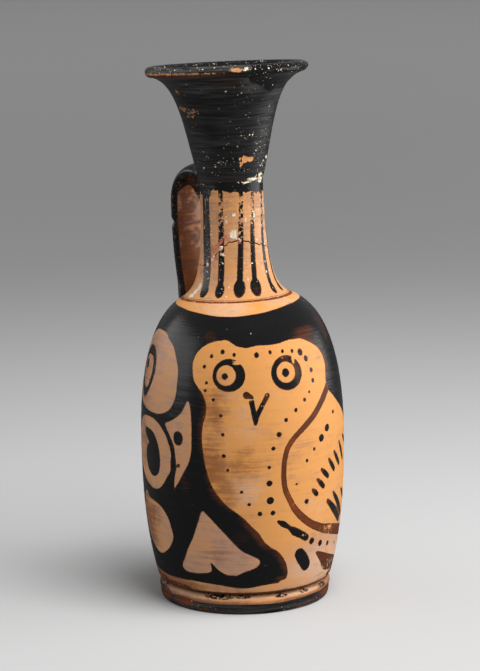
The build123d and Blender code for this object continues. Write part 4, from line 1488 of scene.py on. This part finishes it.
class FLASK_OT_mouth(bpy.types.Operator):
    """Make the funnel mouth and the fill in its seam"""

    bl_idname = "flask.mouth"
    bl_label = "Mouth"

    SEGMENTS = 320
    PAINT_RADIUS = 15
    ROW = 0.42 * MM
    INNER_ROW = 0.6 * MM
    WAIST = 12.8 * MM
    OUTER_WAIST = 13 * MM
    INNER_WAIST = 10 * MM
    LIP_RADIUS = 21
    LIP_RUN = 8.1 * MM
    LIP_RISE = 1.4 * MM
    LAND = 0.8 * MM

    def outline(self, sizes):
        """From the seam up the outside, over the lip and down the inside, closed."""
        base = sizes.neck_length + sizes.seam_gap
        top = base + sizes.mouth_height
        lip = sizes.lip_thickness / 2
        edge = sizes.rim_radius - lip
        land = edge - self.LAND
        under = top - sizes.lip_thickness
        waist = base + self.WAIST
        outside = curve(
            (sizes.mouth_base_radius, base), (self.OUTER_WAIST, waist),
            (edge - self.LIP_RUN, under - self.LIP_RISE), (edge, under), 90)
        angles = np.linspace(-math.pi / 2, math.pi / 2, 23)[1:]
        rim = np.column_stack([edge + lip * np.cos(angles), top - lip + lip * np.sin(angles)])
        inside = curve(
            (land, top), (land - self.LIP_RUN, under - self.LIP_RISE), (self.INNER_WAIST, waist),
            (sizes.bore_radius, base), 60)
        return np.vstack([even(outside, self.ROW), rim, even(inside, self.INNER_ROW), outside[:1]])

    def middle_radius(self, sizes, heights):
        """Radius half way through the mouth's wall at each height, in millimetres."""
        line = self.outline(sizes) / MM
        peak = int(np.argmax(line[:, 1]))
        outer = np.interp(heights, line[:peak, 1], line[:peak, 0])
        inner = np.interp(heights, line[peak:-1, 1][::-1], line[peak:-1, 0][::-1])
        return (outer + inner) / 2

    def shaped(self, sizes):
        """The turned mouth: lip worn uneven, gloss thick in a drip under it, chipped low down."""
        mesh = made_mesh(turned(self.outline(sizes), self.SEGMENTS), "funnel_mouth")
        wall = Wall(mesh, self.PAINT_RADIUS)
        rise = wall.heights
        top = (sizes.neck_length + sizes.seam_gap + sizes.mouth_height) / MM
        tip = top - sizes.lip_thickness / 2 / MM
        outside = wall.radii > self.middle_radius(sizes, rise)
        thick = wall.area(DRIP) * outside
        lip = smooth_step(3.4, 2.4, top - rise) * (wall.radii > self.LIP_RADIUS)
        bite = wall.blobs(MOUTH_CHIPS) * outside
        bite = np.clip(bite + 0.5 * crumbled(wall.co, 1.1, 2.6, 0.6) * (bite > 0.02), 0, 1)
        push = 0.2 * smooth_step(-0.1, 0.35, thick) * (thick > -0.3) - 0.22 * smooth_step(0.45, 0.7, bite)
        push = push - 0.28 * lip * np.clip(crumbled(wall.co, 0.45, 1.3, 0.5) + 0.25, 0, 1)
        pinch = wall.blobs_at(tip, LIP_PINCH) * lip * np.clip(tip - rise, 0, 2)
        outward = wall.co * (1, 1, 0) / np.maximum(wall.radii, 1)[:, None]
        moved = wall.co + push[:, None] * outward + pinch[:, None] * (0, 0, 1)
        mesh.vertices.foreach_set("co", (moved * MM).astype(np.float32).ravel())
        self.paint(mesh, wall, sizes, top, tip, outside, thick, lip, bite)
        return mesh

    def paint(self, mesh, wall, sizes, top, tip, outside, thick, lip, bite):
        """Gloss all over, worn at the lip, scuffed, chipped, gritty, and greyed by dust and painted sheen."""
        rise = wall.heights
        land = (sizes.rim_radius - sizes.lip_thickness / 2 - self.LAND) / MM
        worn = wall.blobs_at(tip, LIP_WORN)
        crest = smooth_step(0.52, 0.18, np.abs(rise - tip + 0.35)) * (wall.radii > self.LIP_RADIUS + 1) * worn
        beneath = smooth_step(1.5, 0.4, np.abs(rise - tip + 1.1)) * (wall.radii > self.LIP_RADIUS) * worn
        inner_edge = smooth_step(0.5, 0.1, np.abs(wall.radii - land)) * (rise > top - 0.4)
        inner_edge = inner_edge * wall.blobs_at(top, LIP_INNER_EDGE)
        scuff = wall.blobs(MOUTH_SCUFFS) * outside
        # Dust on the lip's top and round the mouth greys the gloss, partly as painted sheen
        lip_dust_and_sheen = smooth_step(tip - 0.2, tip + 0.7, rise) * (wall.radii > land - 0.4)
        dust_and_sheen = 0.09 * outside + 0.22 * wall.blobs(MOUTH_DUST_AND_SHEEN) * outside
        dust_and_sheen = dust_and_sheen + 0.24 * lip_dust_and_sheen * wall.blobs_at(tip, LIP_DUST_AND_SHEEN)
        set_paint(
            mesh,
            gloss=np.interp(bite, (0, 0.25, 1), (2.0, 0.3, -0.5)),
            wash=np.interp(most(bite, scuff, crest), (0, 0.3, 1), (2.0, 0.2, -0.6)),
            dilute=0.6,
            rub=0.3,
            thin=wall.blobs(BROWN_MOUTH) + 0.9 * beneath + 0.3 * scuff - 0.5 * (thick > 0),
            wear=0.25 + 0.27 * np.maximum(crest, scuff) + 0.22 * inner_edge + 0.06 * lip,
            pale=0.1 + 0.5 * inner_edge + 0.3 * scuff + 0.1 * crest,
            dull=0.35 + 0.4 * scuff,
            soot=1.1 * scuff + 0.55 * crest,
            grit=wall.blobs(MOUTH_GRIT) + 0.015,
            matt=np.where(thick > 0, -0.1, dust_and_sheen),
            cream=wall.blobs(MOUTH_FILL) * outside,
        )

    def smeared(self, degrees):
        """How much fill is smeared out of the seam at each angle, from 0 to 1."""
        return np.maximum(bell(degrees, *SMEAR), 0.9 * bell(degrees, *LESSER_SMEAR))

    def seam(self, sizes):
        """The fill between neck and mouth, sunk except where it was smeared over the neck."""
        bore, gap, base, turn = sizes.bore_radius, sizes.seam_gap, sizes.neck_length, sizes.mouth_tilt_turn
        fall = Vector((math.sin(turn), math.cos(turn))) * math.tan(sizes.mouth_tilt)
        outside = [(sizes.neck_radius, base + row * gap) for row in np.linspace(0, 1, 9)]
        bm = turned(outside + [(bore, base + gap), (bore, base), outside[0]], self.SEGMENTS)
        for vert in bm.verts:
            share = (vert.co.z - base) / gap
            vert.co.z -= share * fall.dot(vert.co.xy)
            if vert.co.xy.length > bore + 0.2 * MM:
                degrees = math.degrees(math.atan2(vert.co.x, -vert.co.y))
                smear = float(self.smeared(degrees))
                proud = 0.3 * smear * math.sin(math.pi * share) - 0.2 * (1 - smear)
                drop = (1 - share) * smear * (0.2 + 0.5 * float(bell(degrees, *SMEAR)))
                vert.co.xy = vert.co.xy.normalized() * (sizes.neck_radius + proud * MM)
                vert.co.z -= drop * MM
        return bm

    def execute(self, context):
        sizes, colours = context.scene.flask_sizes, context.scene.flask_colours
        mesh = self.shaped(sizes)
        unroll(mesh, self.SEGMENTS)
        mesh.transform(mouth_matrix(sizes))
        place_piece(mesh, painted_clay("worn gloss", sizes.neck_lean, 2.0, 0.17), "mouth")
        mesh = made_mesh(self.seam(sizes), "mouth_seam")
        set_paint(mesh, proud=self.smeared(Wall(mesh, self.PAINT_RADIUS).degrees))
        mesh.transform(stem_matrix(sizes))
        fill = mend_fill("seam fill", colours.fill, colours.pale_clay)
        place_piece(mesh, fill, "mouth_seam_fill")
        return {"FINISHED"}


class FLASK_OT_handle(bpy.types.Operator):
    """Make the two lengths of the strap handle and the fill in its break"""

    bl_idname = "flask.handle"
    bl_label = "Handle"

    RING = 72
    ROOT = 10.2 * MM
    ROOT_STEPS = 16
    RISE = 1.2 * MM
    ARCH_STEPS = 40
    BEND_STEPS = 90
    CUFF_HEIGHT = 118 * MM
    CUFF_FLARE = (16 * MM, 11 * MM)
    LANDING = (21 * MM, 84.5 * MM)
    LANDING_FLARE = (93 * MM, 86 * MM)
    BREAK_DROP = 16.2 * MM
    BREAK_TILT = math.radians(6)
    CHIP = 0.7 * MM
    CHIP_HEIGHT = 1.6 * MM
    CHIP_SIDE = (-4 * MM, -6.3 * MM)
    MEND_EDGE = -5.2 * MM
    MEND_SHRINK = (0.985, 0.98, 1)
    EDGE_SHRINK = (0.9, 0.9, 1)
    BARE_TOP = 121.2

    def strap(self, sizes):
        """The whole strap: straight from the neck, round the arch and down in one long bend."""
        top = sizes.seat_height + sizes.neck_length * math.cos(sizes.neck_lean) + self.RISE
        bm = bmesh.new()
        outward = bm.verts.layers.float.new("outward")
        ring = bmesh.ops.create_circle(bm, cap_ends=True, segments=self.RING, radius=1.0)["verts"]
        for vert in ring:
            vert[outward] = vert.co.y
        half = Vector((sizes.handle_width / 2, sizes.handle_thickness / 2, 1))
        bmesh.ops.scale(bm, vec=half, verts=ring)
        bmesh.ops.rotate(bm, cent=(0, 0, 0), matrix=Matrix.Rotation(math.radians(90), 3, "X"), verts=ring)
        bmesh.ops.translate(bm, vec=(0, self.ROOT, top), verts=ring)
        end = bm.faces[:]
        run = sizes.handle_reach - sizes.arch_radius - self.ROOT
        for _ in range(self.ROOT_STEPS):
            grown = bmesh.ops.extrude_face_region(bm, geom=end)["geom"]
            end = parts(grown, bmesh.types.BMFace)
            bmesh.ops.translate(bm, vec=(0, run / self.ROOT_STEPS, 0), verts=parts(grown, bmesh.types.BMVert))
        corner = Vector((0, sizes.handle_reach - sizes.arch_radius, top - sizes.arch_radius))
        end = self.bent(bm, end, corner, math.pi / 2, self.ARCH_STEPS)
        fall = corner.z - self.LANDING[1]
        inset = sizes.handle_reach - self.LANDING[0]
        radius = (fall * fall + inset * inset) / (2 * inset)
        centre = Vector((0, sizes.handle_reach - radius, corner.z))
        self.bent(bm, end, centre, math.asin(fall / radius), self.BEND_STEPS)
        bmesh.ops.recalc_face_normals(bm, faces=bm.faces)
        for vert in bm.verts:
            spread = smooth_step(*self.LANDING_FLARE, vert.co.z)
            if vert.co.z > self.CUFF_HEIGHT:
                spread = max(spread, smooth_step(*self.CUFF_FLARE, vert.co.y))
                vert.co.z = top + (vert.co.z - top) * (1 + 0.3 * spread)
            vert.co.x *= 1 + 0.1 * spread
        return bm, top

    def bent(self, bm, end, centre, angle, steps):
        """Carries an end face round a bend about a level line, and returns the new end face."""
        edges = list({e for face in end for e in face.edges})
        verts = list({v for face in end for v in face.verts})
        bmesh.ops.delete(bm, geom=end, context="FACES_ONLY")
        made = bmesh.ops.spin(
            bm, geom=verts + edges, cent=centre, axis=(-1, 0, 0), angle=angle, steps=steps)["geom_last"]
        return bmesh.ops.contextual_create(bm, geom=parts(made, bmesh.types.BMEdge))["faces"]

    def cut(self, bm, middle, shift, keep_above):
        """Cuts a strap at the break and closes it."""
        up = Vector((0, -math.sin(self.BREAK_TILT), math.cos(self.BREAK_TILT)))
        bmesh.ops.bisect_plane(
            bm, geom=bm.verts[:] + bm.edges[:] + bm.faces[:], dist=1e-7, plane_co=middle + up * shift,
            plane_no=up, clear_inner=keep_above, clear_outer=not keep_above)
        bmesh.ops.contextual_create(bm, geom=[e for e in bm.edges if e.is_boundary])
        bmesh.ops.recalc_face_normals(bm, faces=bm.faces)

    def paint(self, mesh):
        """Gloss outside, and bare stained clay on the face towards the neck, with painted shade on its left
        half and a painted highlight on its upper right.
        """
        co = places(mesh)
        outward = kept_layer(mesh, "outward")
        x, z = co[:, 0], co[:, 2]
        inner_face = outward < -0.1
        bare_top = self.BARE_TOP - 0.5 * np.abs(x + 2.8) ** 1.5
        bare = np.minimum.reduce([(-0.35 - outward) * 3.0, bare_top - z, (x + 5.3) * 1.5])
        # Darker on the left half of the face, which is painted shade, and darker lower down
        left_shade_and_low_darkening = 1.5 * smooth_step(2.5, -3.5, x) + 0.9 * smooth_step(106, 96, z)
        set_paint(
            mesh,
            gloss=-bare,
            wash=Wall.FAR,
            dilute=0.6,
            rub=0.3,
            thin=np.where(inner_face, 0.35, 0.1),
            wear=np.where(inner_face, 0.38, 0.27),
            # The paler upper right of the inner face is a painted highlight
            pale=np.where(inner_face, 0.95 * smooth_step(-1.5, 3.5, x) * smooth_step(90, 98, z), 0.1),
            dull=1.0,
            soot=left_shade_and_low_darkening + 1.8 * crumbled(co, 0.22, 0.7, 0.8),
            grit=np.where(inner_face, 0.03, 0.02),
        )

    def execute(self, context):
        sizes, colours = context.scene.flask_sizes, context.scene.flask_colours
        whole, top = self.strap(sizes)
        middle = Vector((0, sizes.handle_reach, top - self.BREAK_DROP))
        half_gap = sizes.mend_gap / 2
        slip = painted_clay("handle slip", bare=colours.stained_clay)
        for name, node, shift, keep_above in (
            ("handle_top", "handle_upper", half_gap, True),
            ("handle_foot", "handle_lower", -half_gap, False),
        ):
            bm = whole.copy()
            self.cut(bm, middle, shift, keep_above)
            for vert in bm.verts:
                chip = smooth_step(self.CHIP_HEIGHT, 0, abs(vert.co.z - middle.z))
                vert.co.x += self.CHIP * chip * smooth_step(*self.CHIP_SIDE, vert.co.x)
            mesh = made_mesh(bm, name)
            self.paint(mesh)
            place_piece(mesh, slip, node)
        self.cut(whole, middle, half_gap, False)
        self.cut(whole, middle, -half_gap, True)
        bmesh.ops.scale(whole, vec=self.MEND_SHRINK, space=Matrix.Translation(-middle), verts=whole.verts)
        edge = [v for v in whole.verts if v.co.x < self.MEND_EDGE]
        bmesh.ops.scale(whole, vec=self.EDGE_SHRINK, space=Matrix.Translation(-middle), verts=edge)
        mesh = made_mesh(whole, "handle_mend")
        set_paint(mesh, proud=smooth_step(-5.6, -4.6, places(mesh)[:, 0]))
        fill = mend_fill("handle fill", colours.stained_clay, colours.thin_gloss)
        place_piece(mesh, fill, "handle_break_fill")
        return {"FINISHED"}


class FLASK_PT_panel(bpy.types.Panel):
    """Lists the flask's pieces, sizes and colours in the sidebar"""

    bl_label = "Painted oil flask"
    bl_idname = "FLASK_PT_panel"
    bl_space_type = "VIEW_3D"
    bl_region_type = "UI"
    bl_category = "Flask"

    def draw(self, context):
        layout = self.layout
        for operator in OPERATORS:
            layout.operator(operator.bl_idname, text=operator.bl_label)
        for group in (context.scene.flask_sizes, context.scene.flask_colours, context.scene.flask_stage):
            box = layout.box()
            for name in group.__annotations__:
                box.prop(group, name)


GROUPS = {"flask_sizes": FlaskSizes, "flask_colours": FlaskColours, "flask_stage": FlaskStage}
OPERATORS = (
    FLASK_OT_stage, FLASK_OT_foot, FLASK_OT_body, FLASK_OT_neck, FLASK_OT_mouth, FLASK_OT_handle,
)


def register():
    for cls in (*GROUPS.values(), *OPERATORS, FLASK_PT_panel):
        bpy.utils.register_class(cls)
    for name, group in GROUPS.items():
        setattr(bpy.types.Scene, name, bpy.props.PointerProperty(type=group))


def unregister():
    for name in GROUPS:
        delattr(bpy.types.Scene, name)
    for cls in (FLASK_PT_panel, *reversed(OPERATORS), *reversed(list(GROUPS.values()))):
        bpy.utils.unregister_class(cls)


def main():
    register()
    bpy.ops.flask.stage()
    bpy.ops.flask.foot()
    bpy.ops.flask.body()
    bpy.ops.flask.neck()
    bpy.ops.flask.mouth()
    bpy.ops.flask.handle()


if __name__ == "__main__":
    main()
